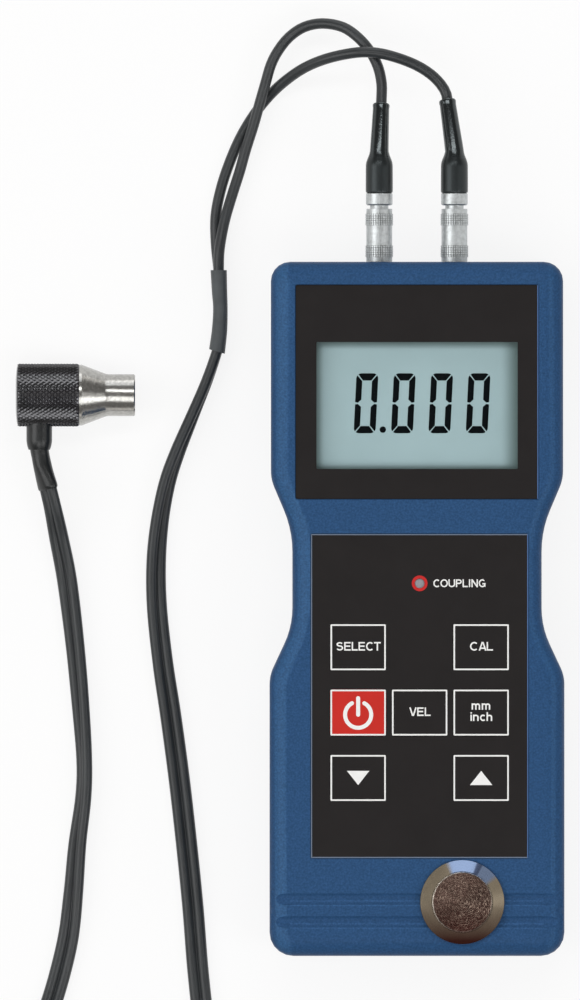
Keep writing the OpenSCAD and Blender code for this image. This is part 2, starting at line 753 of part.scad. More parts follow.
module coupling_light() {
  r = led_body_d / 2;
  base_r = r + led_flange;
  lens_r = led_d / 2;
  tip = panel_z + panel_t - board_top_z;
  neck = tip - panel_t - led_edge;
  color("Gray") at([led_x, led_y], board_top_z) rotate_extrude()
    polygon([[0, 0], [base_r, 0], [base_r, led_flange_t], [r, led_flange_t], [r, neck - led_edge],
             [lens_r, neck], [lens_r, tip - led_edge], [lens_r - 2 * led_edge, tip], [0, tip]]);
}

module main_board() {
  head = board_head_w / 2;
  stem = board_stem_w / 2;
  color("DarkGreen") translate([0, 0, board_z]) difference() {
    linear_extrude(board_t) polygon([
      [-head, board_neck_y], [-head, board_head_y], [head, board_head_y], [head, board_neck_y],
      [stem, board_neck_y], [stem, board_foot_y], [-stem, board_foot_y], [-stem, board_neck_y]
    ]);
    for (p = board_screw_spots)
      at(p, -cut) cylinder(d = board_screw_d + 2 * seat_gap, h = board_t + 2 * cut);
  }
}

module board_screws() {
  color("Silver") for (p = board_screw_spots) at(p, board_z - board_head_h) {
    cylinder(d = board_head_d, h = board_head_h);
    cylinder(d = board_screw_d - 2 * bore_gap, h = board_head_h + inside_z - board_z - fuse);
  }
}

// Turned steel block: upright rim, wide chamfer and a dished measuring face
module test_block() {
  r = block_d / 2;
  face_r = block_face_d / 2;
  rim = 0.3;
  color("Silver") at([block_x, block_y], body_t - block_seat) rotate_extrude()
    polygon([[0, 0], [r, 0], [r, block_seat + block_rim], [face_r + rim, block_t], [face_r, block_t],
             [face_r - block_dish, block_t - block_dish], [0, block_t - block_dish]]);
}

module battery(i) {
  color("SlateGray") translate([cell_x(i), bay_y + bay_l / 2 + cell_turn(i) * (spring_l / 2), cell_z])
    rotate([-90 * cell_turn(i), 0, 0]) translate([0, 0, -cell_l / 2]) {
      cylinder(d = cell_d, h = cell_l - button_l);
      cylinder(d = button_d, h = cell_l);
    }
}

module battery_contacts() {
  color("Silver") for (i = [0 : 3], y = [bay_y, bay_y + bay_l - plate_t])
    translate([cell_x(i) - plate_w / 2, y, cell_z - plate_w / 2]) cube([plate_w, plate_t, plate_w]);
}

// Conical wire spring that presses on a cell's flat end
module contact_spring() {
  sides = 6;
  turn_steps = 12;
  steps = turn_steps * spring_turns;
  rise = spring_l - wire_d;
  function middle(i) =
    let (r = spring_base_r + (spring_tip_r - spring_base_r) * i / steps, a = 360 * i / turn_steps)
    [r * cos(a), r * sin(a), wire_d / 2 + rise * i / steps];
  loft([for (i = [0 : steps]) [for (j = [0 : sides - 1])
    let (a = -360 * j / sides, out = unit([middle(i).x, middle(i).y, 0]))
    middle(i) + wire_d / 2 * (sin(a) * [0, 0, 1] - cos(a) * out)]]);
}

module battery_springs() {
  color("Silver") for (i = [0 : 3])
    translate([cell_x(i), cell_turn(i) > 0 ? bay_y + plate_t : bay_y + bay_l - plate_t, cell_z])
      rotate([-90 * cell_turn(i), 0, 0]) contact_spring();
}

module socket(s) {
  r = socket_d / 2;
  bore_r = nose_d / 2 + bore_gap;
  top = -socket_sink;
  flange_r = socket_flange_d / 2;
  floor_z = -nose_l - nose_room;
  color("Silver") on_plug_axis(s) rotate_extrude()
    polygon([[0, -socket_l], [r, -socket_l], [r, top - socket_flange_t], [flange_r, top - socket_flange_t],
             [flange_r, top], [bore_r, top], [bore_r, floor_z], [0, floor_z]]);
}

module socket_nuts() {
  color("Silver") for (s = SIDES) on_plug_axis(s) translate([0, 0, -wall - socket_nut_l]) difference() {
    cylinder(d = socket_nut_d, h = socket_nut_l);
    translate([0, 0, -cut]) cylinder(d = socket_d + 2 * bore_gap, h = socket_nut_l + 2 * cut);
    translate([-socket_nut_d, -nut_slot_w / 2, -cut])
      cube([2 * socket_nut_d, nut_slot_w, cut + nut_slot_d]);
  }
}

module plug_body(s) {
  color("Silver") on_plug_axis(s) {
    translate([0, 0, -nose_l]) cylinder(d = nose_d, h = nose_l + nut_start);
    translate([0, 0, sleeve_start]) cylinder(d = neck_d, h = nut_start - sleeve_start);
    translate([0, 0, nut_start - fuse]) cylinder(d = plug_thread_d, h = nut_l + fuse);
  }
}

// Latch sleeve with two raised grip bands
module latch_sleeve(s) {
  r = sleeve_d / 2;
  band_step = 0.08;
  low = r - band_step;
  bore = neck_d / 2 + sleeve_bore_gap;
  band = 2.7;
  first = 1;
  second = sleeve_l - band - 1.2 * first;
  color("Silver") on_plug_axis(s) translate([0, 0, sleeve_start]) rotate_extrude()
    polygon([[bore, 0], [low, 0], [low, first], [r, first], [r, first + band], [low, first + band],
             [low, second], [r, second], [r, second + band], [low, second + band], [low, sleeve_l],
             [bore, sleeve_l]]);
}

module collet_nut(s) {
  r = sleeve_d / 2;
  edge = 0.3;
  bore = plug_thread_d / 2 + bore_gap;
  color("Silver") on_plug_axis(s) translate([0, 0, nut_start]) rotate_extrude()
    polygon([[bore, 0], [r - edge, 0], [r, edge], [r, nut_l - edge], [r - edge, nut_l], [bore, nut_l]]);
}

// Rubber boot: a thick end, a soft shoulder and a thin end that leans with its cord
module boot(s) {
  r = sleeve_d / 2;
  waist_r = boot_waist_d / 2;
  shoulder = [for (i = [0 : boot_shoulder_steps])
    let (t = i / boot_shoulder_steps)
    [r + (waist_r - r) * (1 - cos(180 * t)) / 2, boot_bulge_l + boot_shoulder_l * t]];
  color([0.14, 0.15, 0.15]) on_plug_axis(s) {
    translate([0, 0, boot_start]) rotate_extrude()
      polygon(concat([[0, 0], [r, 0]], shoulder, [[0, boot_bulge_l + boot_shoulder_l]]));
    translate([0, 0, boot_bend]) {
      sphere(r = waist_r + boot_knuckle);
      rotate([0, -s[2], 0]) cylinder(r1 = waist_r, d2 = boot_tip_d, h = boot_tail_l);
    }
  }
}

// Tube swept along points, with a section that is turned by a roll at each point
function unit(v) = v / norm(v);
function way(path, i, ends) =
  i == 0 ? unit(ends[0]) : i == len(path) - 1 ? unit(ends[1]) : unit(path[i + 1] - path[i - 1]);
function sweep_ring(p, t, section, roll) =
  let (
    side = unit(cross(t, [0, 0, 1])),
    up = cross(side, t),
    across = cos(roll) * side + sin(roll) * up,
    along = cos(roll) * up - sin(roll) * side
  )
  [for (q = section) p + q.x * across + q.y * along];
function round_section(d) =
  [for (j = [0 : cord_sides - 1]) let (a = -360 * j / cord_sides) d / 2 * [cos(a), sin(a)]];
// Flat section of two round edges, width w and thickness t
function flat_section(w, t) =
  [for (s = [1, -1]) for (j = [0 : flat_steps])
    let (a = 180 - 90 * s - 180 * j / flat_steps) [s * (w - t) / 2, 0] + t / 2 * [cos(a), sin(a)]];

module single_cord(s) {
  start = [boot_tip(s), boot_tip(s) + cord_lead * boot_axis(s)];
  points = concat(start, s[1] < 0 ? left_points : right_points);
  ends = [boot_axis(s), [0, -1, 0]];
  color([0.27, 0.285, 0.29])
    loft([for (i = [0 : len(points) - 1])
      sweep_ring(points[i], way(points, i, ends), round_section(cord_d), 0)]);
}

// Shrunk sleeve over the place where the twin cord splits
module split_sleeve() {
  ends = [[0, -1, 0], split_end_dir];
  color([0.14, 0.15, 0.15])
    loft([for (i = [0 : len(split_points) - 1])
      let (section = flat_section(2 * split_half_h, 2 * split_half_w[i]))
      sweep_ring(split_points[i], way(split_points, i, ends), section, 90)]);
}

module twin_cord(points, ends) {
  path = [for (p = points) [p[0], p[1], p[2]]];
  color([0.27, 0.285, 0.29])
    loft([for (i = [0 : len(path) - 1])
      sweep_ring(path[i], way(path, i, ends), flat_section(twin_w, twin_t), points[i][3])]);
}

module twin_cord_a() {
  twin_cord(twin_a_points, [split_end_dir, [0.3, -1, 0]]);
}

module twin_cord_b() {
  tip = concat(relief_tip, [50]);
  twin_cord(concat(twin_b_points, [tip]), [[0.25, 1, 0], -1 * relief_axis]);
}

module cord_coil() {
  color([0.27, 0.285, 0.29]) translate([coil_x, coil_y, tie_t]) difference() {
    cylinder(r = coil_r + twin_w / 2, h = coil_h);
    translate([0, 0, -cut]) cylinder(r = coil_r - twin_w / 2, h = coil_h + 2 * cut);
  }
}

module coil_tie() {
  room = twin_w / 2 + tie_gap;
  color("Black") translate([coil_x, coil_y - coil_r, 0]) difference() {
    translate([-tie_w / 2, -room - tie_t, 0]) cube([tie_w, 2 * (room + tie_t), coil_h + 2 * tie_t]);
    translate([-tie_w, -room, tie_t]) cube([2 * tie_w, 2 * room, coil_h]);
  }
}

// Turned piece on the probe's axis: z = 0 is the cap's end, +z points to the nose
module on_probe_axis() {
  translate([cap_end_x, probe_y, probe_z]) rotate([0, 90, 0]) children();
}

// Cap with an end that falls off a little round a flat middle, bored for the shank and for the side ferrule
module probe_cap() {
  r = cap_d / 2;
  flat_r = 0.6 * r;
  dome = 0.3;
  edge = 0.5;
  bore_r = shank_d / 2 + bore_gap;
  color([0.13, 0.13, 0.13]) difference() {
    on_probe_axis() rotate_extrude()
      polygon([[0, 0], [flat_r, 0], [r - edge, dome], [r, dome + edge], [r, cap_l],
               [bore_r, cap_l], [bore_r, cap_floor], [0, cap_floor]]);
    translate([ferrule_x, ferrule_root_y + ferrule_stem_l, probe_z]) rotate([90, 0, 0])
      cylinder(d = ferrule_stem_d + 2 * bore_gap, h = cap_d);
    translate([ferrule_x, ferrule_root_y + ferrule_seat, probe_z]) rotate([90, 0, 0])
      cylinder(d = ferrule_d + 2 * bore_gap, h = cap_d);
  }
}

// Steel body: shank, rim, cone and nose with a hollow round between them, bored for the delay blocks
module probe_body() {
  rim_r = cone_d / 2;
  nose_r = probe_nose_d / 2;
  start = cap_l + probe_rim_l;
  nose = start + cone_l;
  end = nose + probe_nose_l;
  edge = 0.25;
  cone_a = atan2(rim_r - nose_r, cone_l);
  hollow_end = nose + cone_hollow_r * tan(cone_a / 2);
  hollow = [for (i = [0 : cone_hollow_steps])
    let (a = cone_a * (1 - i / cone_hollow_steps))
    [nose_r + cone_hollow_r * (1 - cos(a)), hollow_end - cone_hollow_r * sin(a)]];
  color("Silver") difference() {
    on_probe_axis() rotate_extrude()
      polygon(concat(
        [[0, cap_floor], [shank_d / 2, cap_floor], [shank_d / 2, cap_l], [rim_r, cap_l], [rim_r, start]],
        hollow,
        [[nose_r, end - edge], [nose_r - edge, end], [0, end]]
      ));
    on_probe_axis() translate([0, 0, end - delay_l])
      cylinder(d = delay_d + 2 * bore_gap, h = delay_l + cut);
  }
}

module probe_delay_blocks() {
  color("DarkGoldenrod") on_probe_axis() for (s = [-1, 1])
    translate([0, 0, probe_face_x - cap_end_x - delay_l]) intersection() {
      cylinder(d = delay_d, h = delay_l);
      translate([-delay_d, s > 0 ? barrier_t / 2 : -delay_d, 0])
        cube([2 * delay_d, delay_d - barrier_t / 2, delay_l]);
    }
}

module probe_barrier() {
  color("Black") on_probe_axis() translate([0, 0, probe_face_x - cap_end_x - delay_l]) intersection() {
    cylinder(d = delay_d, h = delay_l);
    translate([-delay_d, -barrier_t / 2, 0]) cube([2 * delay_d, barrier_t, delay_l]);
  }
}

// Barrel-shaped ferrule that carries the cord out of the cap's side and narrows towards its relief
module probe_ferrule() {
  r = ferrule_d / 2;
  stem_r = ferrule_stem_d / 2;
  straight = 0.55 * ferrule_l;
  barrel = [for (i = [0 : ferrule_steps])
    let (t = i / ferrule_steps) [r - ferrule_taper * t * t, straight + (ferrule_l - straight) * t]];
  color([0.13, 0.13, 0.13]) translate([ferrule_x, ferrule_root_y, probe_z]) rotate([90, 0, 0])
    rotate_extrude()
      polygon(concat(
        [[0, -ferrule_stem_l], [stem_r, -ferrule_stem_l], [stem_r, -ferrule_seat], [r, -ferrule_seat]],
        barrel,
        [[0, ferrule_l]]
      ));
}

// Strain relief that leans with the cord, with a rounded lip at its end
module probe_relief() {
  r = relief_d / 2;
  lip = 0.4;
  color([0.14, 0.15, 0.15]) translate(relief_root) difference() {
    rotate([90, 0, relief_lean]) translate([0, 0, -r]) rotate_extrude()
      polygon([[0, 0], [r, 0], [r, relief_l + r - lip], [r - lip, relief_l + r], [0, relief_l + r]]);
    translate([-ferrule_d, 0, -ferrule_d]) cube(2 * ferrule_d);
  }
}

front_housing();
rear_housing();
battery_cover();
housing_screws();
display_panel();
display_window();
lcd_module();
lcd_holder();
lcd_contact_strips();
keypad_panel();
for (k = KEYS) key(k);
key_switches();
coupling_light();
main_board();
board_screws();
test_block();
for (i = [0 : 3]) battery(i);
battery_contacts();
battery_springs();
socket_nuts();
for (s = SIDES) {
  socket(s);
  plug_body(s);
  latch_sleeve(s);
  collet_nut(s);
  boot(s);
  single_cord(s);
}
split_sleeve();
twin_cord_a();
cord_coil();
coil_tie();
twin_cord_b();
probe_cap();
probe_body();
probe_delay_blocks();
probe_barrier();
probe_ferrule();
probe_relief();
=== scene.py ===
# %% [markdown]
# # A thickness gauge, dressed in Blender
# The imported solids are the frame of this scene: they are loaded first, they never move, and every piece
# made below lies where they lie, by their boxes or by the same points. Sizes are written in millimetres, as
# on the part's drawing, and turned into metres in one place.

# %% Load the frame
import math
from types import SimpleNamespace

import bmesh
import bpy
from mathutils import Matrix, Vector


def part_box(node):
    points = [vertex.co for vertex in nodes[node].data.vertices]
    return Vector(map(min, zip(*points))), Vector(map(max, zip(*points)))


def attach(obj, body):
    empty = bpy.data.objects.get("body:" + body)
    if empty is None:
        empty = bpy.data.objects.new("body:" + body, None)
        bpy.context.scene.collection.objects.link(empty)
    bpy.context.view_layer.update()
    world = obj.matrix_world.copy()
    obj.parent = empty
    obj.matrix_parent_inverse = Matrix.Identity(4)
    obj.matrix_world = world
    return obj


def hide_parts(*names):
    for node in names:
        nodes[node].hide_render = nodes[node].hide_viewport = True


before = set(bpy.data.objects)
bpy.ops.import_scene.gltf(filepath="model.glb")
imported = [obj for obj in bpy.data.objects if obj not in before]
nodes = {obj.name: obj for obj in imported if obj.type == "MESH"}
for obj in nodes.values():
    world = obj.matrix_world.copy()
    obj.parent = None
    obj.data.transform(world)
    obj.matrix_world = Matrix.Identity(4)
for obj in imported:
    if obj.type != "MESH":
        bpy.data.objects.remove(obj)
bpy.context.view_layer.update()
MM = 0.001


def add(name, data):
    """A new object in the scene."""
    piece = bpy.data.objects.new(name, data)
    bpy.context.scene.collection.objects.link(piece)
    return piece


# %% [markdown]
# ## Camera
# The picture looks straight down on a table. A long lens from six metres away keeps the sides of the
# housing out of sight, as they are in the picture. The lens follows from the scale of the picture: so many
# millimetres of table in its height.

# %% Camera over the table
PICTURE_W, PICTURE_H = 580, 1000
PIXEL_MM = 0.233
PICTURE_ORIGIN = (416.8, 608.7)
CAMERA_HEIGHT = 6.0
SCALE_LEVEL = 0.016
SENSOR_MM = 36.0
lens = bpy.data.cameras.new("table_camera")
lens.sensor_width = SENSOR_MM
lens.lens = SENSOR_MM * CAMERA_HEIGHT / (PICTURE_H * PIXEL_MM * MM)
camera = add("table_camera", lens)
middle_x = (PICTURE_W / 2 - PICTURE_ORIGIN[0]) * PIXEL_MM
middle_y = (PICTURE_ORIGIN[1] - PICTURE_H / 2) * PIXEL_MM
camera.location = (middle_x * MM, middle_y * MM, CAMERA_HEIGHT + SCALE_LEVEL)
bpy.context.scene.camera = camera
print(f"lens {lens.lens:.0f} mm, over x {middle_x:.1f}, y {middle_y:.1f} mm")

# %% [markdown]
# ## Cords first
# A cord is a tube that follows a smooth curve through a few points. The points are those of the solid
# model, so that the tube lies where the solid lies. A Catmull-Rom curve passes through every point, which
# is why it is used here and not a B-spline, which only comes near them.


# %% A smooth route through points
def smooth_route(points, step):
    """Points about every `step` along a Catmull-Rom curve through `points`, of any number of components."""
    route = []
    for i in range(len(points) - 1):
        p1, p2 = Vector(points[i]), Vector(points[i + 1])
        p0 = Vector(points[i - 1]) if i else 2 * p1 - p2
        p3 = Vector(points[i + 2]) if i + 2 < len(points) else 2 * p2 - p1
        count = max(1, round((p2 - p1).to_3d().length / step))
        for k in range(count):
            t = k / count
            route.append(0.5 * (2 * p1 + (p2 - p0) * t + (2 * p0 - 5 * p1 + 4 * p2 - p3) * t ** 2
                                + (3 * p1 - p0 - 3 * p2 + p3) * t ** 3))
    return route + [Vector(points[-1])]


def route_length(route):
    """Length of a route, in its own unit."""
    return sum((b.to_3d() - a.to_3d()).length for a, b in zip(route, route[1:]))


# %% Tubes along a route
def sweep_rings(route, section, ends=(None, None), rolls=None):
    """One ring of points for each point of the route; the section is rolled about the way forward."""
    rings = []
    rolls = rolls or [0] * len(route)
    for i, p in enumerate(route):
        ahead = route[min(i + 1, len(route) - 1)].to_3d() - route[max(i - 1, 0)].to_3d()
        if i == 0 and ends[0]:
            ahead = Vector(ends[0])
        if i == len(route) - 1 and ends[1]:
            ahead = Vector(ends[1])
        ahead = ahead.normalized()
        side = ahead.cross((0, 0, 1)).normalized()
        up = side.cross(ahead)
        c, s = math.cos(rolls[i]), math.sin(rolls[i])
        across, along = c * side + s * up, c * up - s * side
        shape = section(i) if callable(section) else section
        rings.append([p.to_3d() + x * across + y * along for x, y in shape])
    return rings


def skin(name, rings, material, smooth=True, wrap=False):
    """Object through rings of equal length, closed at both ends or, with wrap, joined end to end."""
    n, count = len(rings[0]), len(rings)
    mesh = bpy.data.meshes.new(name)
    faces = [[i * n + j, i * n + (j + 1) % n, (i + 1) % count * n + (j + 1) % n, (i + 1) % count * n + j]
             for i in range(count if wrap else count - 1) for j in range(n)]
    if not wrap:
        faces += [list(range(n))[::-1], [(count - 1) * n + j for j in range(n)]]
    mesh.from_pydata([p * MM for ring in rings for p in ring], [], faces)
    shell = bmesh.new()
    shell.from_mesh(mesh)
    bmesh.ops.recalc_face_normals(shell, faces=shell.faces)
    for edge in shell.edges:
        edge.smooth = edge.calc_face_angle(0) < math.radians(50)
    for face in shell.faces:
        face.smooth = smooth
    shell.to_mesh(mesh)
    shell.free()
    mesh.materials.append(material)
    return add(name, mesh)


def arc(x, y, rx, ry, start, end, steps=12):
    """Points of an oval arc about x, y, from one angle to another in degrees."""
    angles = [math.radians(start + (end - start) * j / steps) for j in range(steps + 1)]
    return [(x + rx * math.cos(a), y + ry * math.sin(a)) for a in angles]


def circle(r, sides):
    """Section of a round cord."""
    return arc(0, 0, r, r, 0, 360, sides)[:-1]


# %% [markdown]
# ## Short words for node trees
# Finishes, light and repeated teeth are all node trees. A few short words make a node, feed its inputs and
# give it back, so that a tree below reads like the sum that it works out.


# %% Words for node trees
MIX_SOCKETS = {"FLOAT": (2, 0), "VECTOR": (4, 1), "RGBA": (6, 2)}


class Wiring:
    """Short words for one node tree. A node that is fed to a socket stands for its first output."""

    def __init__(self, tree):
        self.tree, self.made = tree, tree.nodes
        self.shader = tree.nodes.get("Principled BSDF")

    def feed(self, socket, value):
        """Link a socket to a node or an output, or set it; None leaves it as it is."""
        if isinstance(value, bpy.types.Node):
            value = value.outputs[0]
        if isinstance(value, bpy.types.NodeSocket):
            self.tree.links.new(value, socket)
        elif value is not None:
            socket.default_value = value

    def node(self, kind, *values, inputs=None, **settings):
        """A node with its settings, its first inputs and its inputs by name."""
        node = self.made.new(kind)
        for key, value in settings.items():
            setattr(node, key, value)
        for socket, value in zip(node.inputs, values):
            self.feed(socket, value)
        for label, value in (inputs or {}).items():
            self.feed(node.inputs[label], value)
        return node

    def maths(self, operation, *values):
        """A maths operation on one, two or three values."""
        return self.node("ShaderNodeMath", *values, operation=operation)

    def ramp(self, value, *ends, way="LINEAR"):
        """A value run from one pair of ends to another."""
        return self.node("ShaderNodeMapRange", value, *ends, interpolation_type=way)

    def vector(self, x, y, z):
        """A vector from its parts."""
        return self.node("ShaderNodeCombineXYZ", x, y, z)

    def parts(self, vector):
        """The three parts of a vector."""
        return self.node("ShaderNodeSeparateXYZ", vector).outputs[:]

    def mixed(self, share, first, second, kind="RGBA", blend="MIX"):
        """Two values mixed by a share of the second."""
        at, out = MIX_SOCKETS[kind]
        node = self.node("ShaderNodeMix", share, data_type=kind, blend_type=blend)
        self.feed(node.inputs[at], first)
        self.feed(node.inputs[at + 1], second)
        return node.outputs[out]

    def repaint(self, share, colour, blend="MIX"):
        """Mix the shader's base colour with another one."""
        base = self.shader.inputs["Base Color"]
        self.feed(base, self.mixed(share, base.links[0].from_socket, colour, blend=blend))

    def coordinates(self, kind="Object"):
        """The three parts of a finish's own coordinates."""
        return self.parts(self.made["Texture Coordinate"].outputs[kind])


# %% [markdown]
# ## Finishes
# Every finish is one Principled shader with two things that a flat colour lacks: a mottle, which shifts the
# colour a little from place to place, and a grain, which is a bump at the scale of the real surface. Both
# read Object coordinates. A stretch makes the same noise into turning marks; a centre bends them into
# rings.


# %% The finish maker
RING_STRETCH = (1, 0.17, 0.17)
GLOSS_SPREAD = 0.1


def linear(*rgb):
    """An sRGB colour of 0 to 255 as the linear values that a shader takes."""
    shares = [c / 255 for c in rgb]
    return tuple(((c + 0.055) / 1.055) ** 2.4 if c > 0.04 else c / 12.92 for c in shares) + (1.0,)


def finish(name, rgb, rough, metal, grain, mottle, specular, stretch=(1, 1, 1), rings=None, alpha=1):
    """A Principled finish. grain is noise scale and depth in mm, mottle is noise scale and strength."""
    material = bpy.data.materials.new(name)
    material.use_nodes = True
    wire = Wiring(material.node_tree)
    place = wire.node("ShaderNodeTexCoord").outputs["Object"]
    if rings:
        centred = wire.node("ShaderNodeMapping", place, [-c * MM for c in rings])
        x, y, _ = wire.node("ShaderNodeSeparateXYZ", centred, name="middle").outputs
        radius = wire.node("ShaderNodeVectorMath", wire.vector(x, y, 0), operation="LENGTH", name="radius")
        line = wire.vector(radius.outputs["Value"], x, y)
        drawn = wire.node("ShaderNodeVectorMath", line, RING_STRETCH, operation="MULTIPLY")
    else:
        drawn = wire.node("ShaderNodeMapping", place, None, None, stretch)
    fine = wire.node("ShaderNodeTexNoise", drawn, inputs={"Scale": grain[0], "Detail": 3})
    bump = wire.node("ShaderNodeBump", inputs={"Strength": 1, "Distance": grain[1] * MM, "Height": fine})
    patchy = wire.node("ShaderNodeTexNoise", place, inputs={"Scale": mottle[0], "Detail": 4})
    shades = wire.node("ShaderNodeValToRGB", patchy)
    for stop, position, share in zip(shades.color_ramp.elements, (0.3, 0.7), (1 - mottle[1], 1 + mottle[1])):
        stop.position = position
        stop.color = [min(1, c * share) for c in linear(*rgb)[:3]] + [1]
    gloss = wire.ramp(patchy, 0, 1, rough * (1 - GLOSS_SPREAD), rough * (1 + GLOSS_SPREAD))
    for label, value in (("Metallic", metal), ("Specular IOR Level", specular), ("Alpha", alpha),
                         ("Base Color", shades), ("Roughness", gloss), ("Normal", bump)):
        wire.feed(wire.shader.inputs[label], value)
    return material


# %% The finishes of this gauge
DISC_MIDDLE = (10.5, -68.15, 0)
# Each row: colour, roughness, metal, scale and depth of the grain, scale and strength of the mottle,
# specular level; then, where it has them, stretch of the grain, centre of the rings, alpha
FINISHES = {
    "housing_blue": ((45, 80, 121), 0.4, 0, (2500, 0.06), (2200, 0.22), 0.07),
    "film_black": ((33, 30, 30), 0.45, 0, (3500, 0.004), (120, 0.08), 0.13),
    "film_edge": ((112, 126, 146), 0.5, 0, (2000, 0.004), (300, 0.06), 0.2),
    "edge_blue": ((75, 110, 160), 0.5, 0, (2000, 0.004), (300, 0.06), 0.2),
    "key_red": ((202, 39, 29), 0.45, 0, (3500, 0.004), (200, 0.04), 0.2),
    "print_white": ((244, 244, 242), 0.5, 0, (3000, 0.002), (700, 0.03), 0.2),
    "ring_red": ((200, 38, 36), 0.45, 0, (3000, 0.002), (700, 0.05), 0.2),
    "lens_grey": ((148, 146, 151), 0.5, 0, (900, 0.004), (500, 0.05), 0.15),
    "display_grey": ((166, 192, 196), 0.55, 0, (4000, 0.002), (60, 0.04), 0.1),
    "display_ink": ((2, 5, 8), 0.6, 0, (3000, 0.002), (400, 0.1), 0.02),
    "clear_pane": ((90, 100, 100), 0.03, 0, (60, 0.0005), (40, 0.02), 0.04, (1, 1, 1), None, 0.015),
    "turned_disc": ((136, 126, 109), 0.2, 1, (8500, 0.012), (240, 0.12), 0.5, (1, 1, 1), DISC_MIDDLE),
    "turned_steel": ((175, 174, 170), 0.2, 1, (900, 0.03), (1500, 0.14), 0.5, (6, 0.05, 0.05)),
    "plug_metal": ((190, 194, 195), 0.4, 1, (900, 0.008), (1200, 0.14), 0.5, (0.05, 5, 0.05)),
    "groove_grey": ((74, 75, 76), 0.4, 1, (900, 0.004), (900, 0.1), 0.5),
    "cap_black": ((84, 84, 86), 0.18, 1, (1800, 0.004), (500, 0.15), 0.5),
    "boot_black": ((9, 12, 13), 0.24, 0, (2200, 0.02), (220, 0.2), 0.75),
    "relief_grey": ((22, 25, 26), 0.32, 0, (1300, 0.03), (500, 0.3), 0.5),
    "cord_grey": ((48, 51, 53), 0.34, 0, (900, 0.012), (160, 0.12), 0.42),
    "shrink_grey": ((82, 86, 88), 0.5, 0, (1200, 0.015), (260, 0.14), 0.25),
    "tie_black": ((30, 30, 31), 0.8, 0, (1400, 0.08), (900, 0.3), 0.5, (1, 0.3, 0.3)),
    "screw_steel": ((170, 170, 170), 0.3, 1, (1200, 0.004), (300, 0.06), 0.5),
    "cell_wrap": ((88, 92, 98), 0.3, 0.6, (500, 0.004), (90, 0.1), 0.5),
    "board_green": ((24, 80, 48), 0.4, 0, (500, 0.02), (250, 0.2), 0.5),
    "inner_black": ((60, 60, 60), 0.55, 0, (900, 0.01), (300, 0.06), 0.5),
    "strip_pale": ((200, 200, 200), 0.6, 0, (900, 0.01), (300, 0.06), 0.5, (8, 1, 1)),
    "delay_amber": ((160, 124, 64), 0.25, 0, (600, 0.002), (120, 0.1), 0.5),
    "cork_brown": ((70, 52, 38), 0.8, 0, (1500, 0.05), (800, 0.4), 0.5),
}
paint = SimpleNamespace(**{name: finish(name, *row) for name, row in FINISHES.items()})
print("finishes", len(bpy.data.materials))

# %% [markdown]
# The test block is one piece of steel with two finishes: its face was turned coarsely and has gone brown in
# use, its chamfer is bright. The distance from its axis, which already draws the turning rings, also tells
# them apart. Both carry a painted brown-red reflection towards the lower edge, and the chamfer has a painted
# blue reflection above, broken by a darker gap. A thin painted highlight lies on the edge of the face on the
# left, and the bright arcs among the face's rings are painted glints, strongest towards the lower right.

# %% A brown face inside a bright chamfer
FACE_R = 6.85
FACE_FADE, RIM_REACH = 0.1, 0.13
RING_DEPTH = (0.1, 0.014)
FACE_ROUGH, CHAMFER_ROUGH = 0.22, 0.2
# Shades of the face's rings: the darker ones are turning marks, the brightest arcs are painted glints
FACE_RINGS_AND_GLINTS = [(0.34, linear(37, 26, 24)), (0.52, linear(76, 60, 54)), (0.68, linear(165, 147, 132))]
PLAIN_BROWN, LOWER_REFLECTION_BROWN, FACE_EDGE_HIGHLIGHT = linear(86, 67, 60), linear(56, 29, 25), linear(240, 230, 218)
# Colours of the painted blue reflection on the chamfer and of the darker gap in it
CHAMFER_REFLECTION_BLUE, REFLECTION_GAP_DARK = linear(115, 132, 161), linear(56, 66, 92)
REFLECTION_TOP, REFLECTION_FOOT = 0.5, -9
# Each side: x and y of a direction from the axis, two cosines of the angle to it, the shares at those two
REFLECTION_SIDE, REFLECTION_GAP_SIDE = (0.276, 0.961, 0.76, 0.84, 0, 1), (0.42, 0.907, 0.9955, 0.998, 0, 0.8)
GLINT_FADE_SIDE, EDGE_HIGHLIGHT_SIDE = (0.6, -0.8, -0.5, 0.8, 0.45, 0), (-0.98, 0.2, 0, 0.95, 0.15, 0.9)


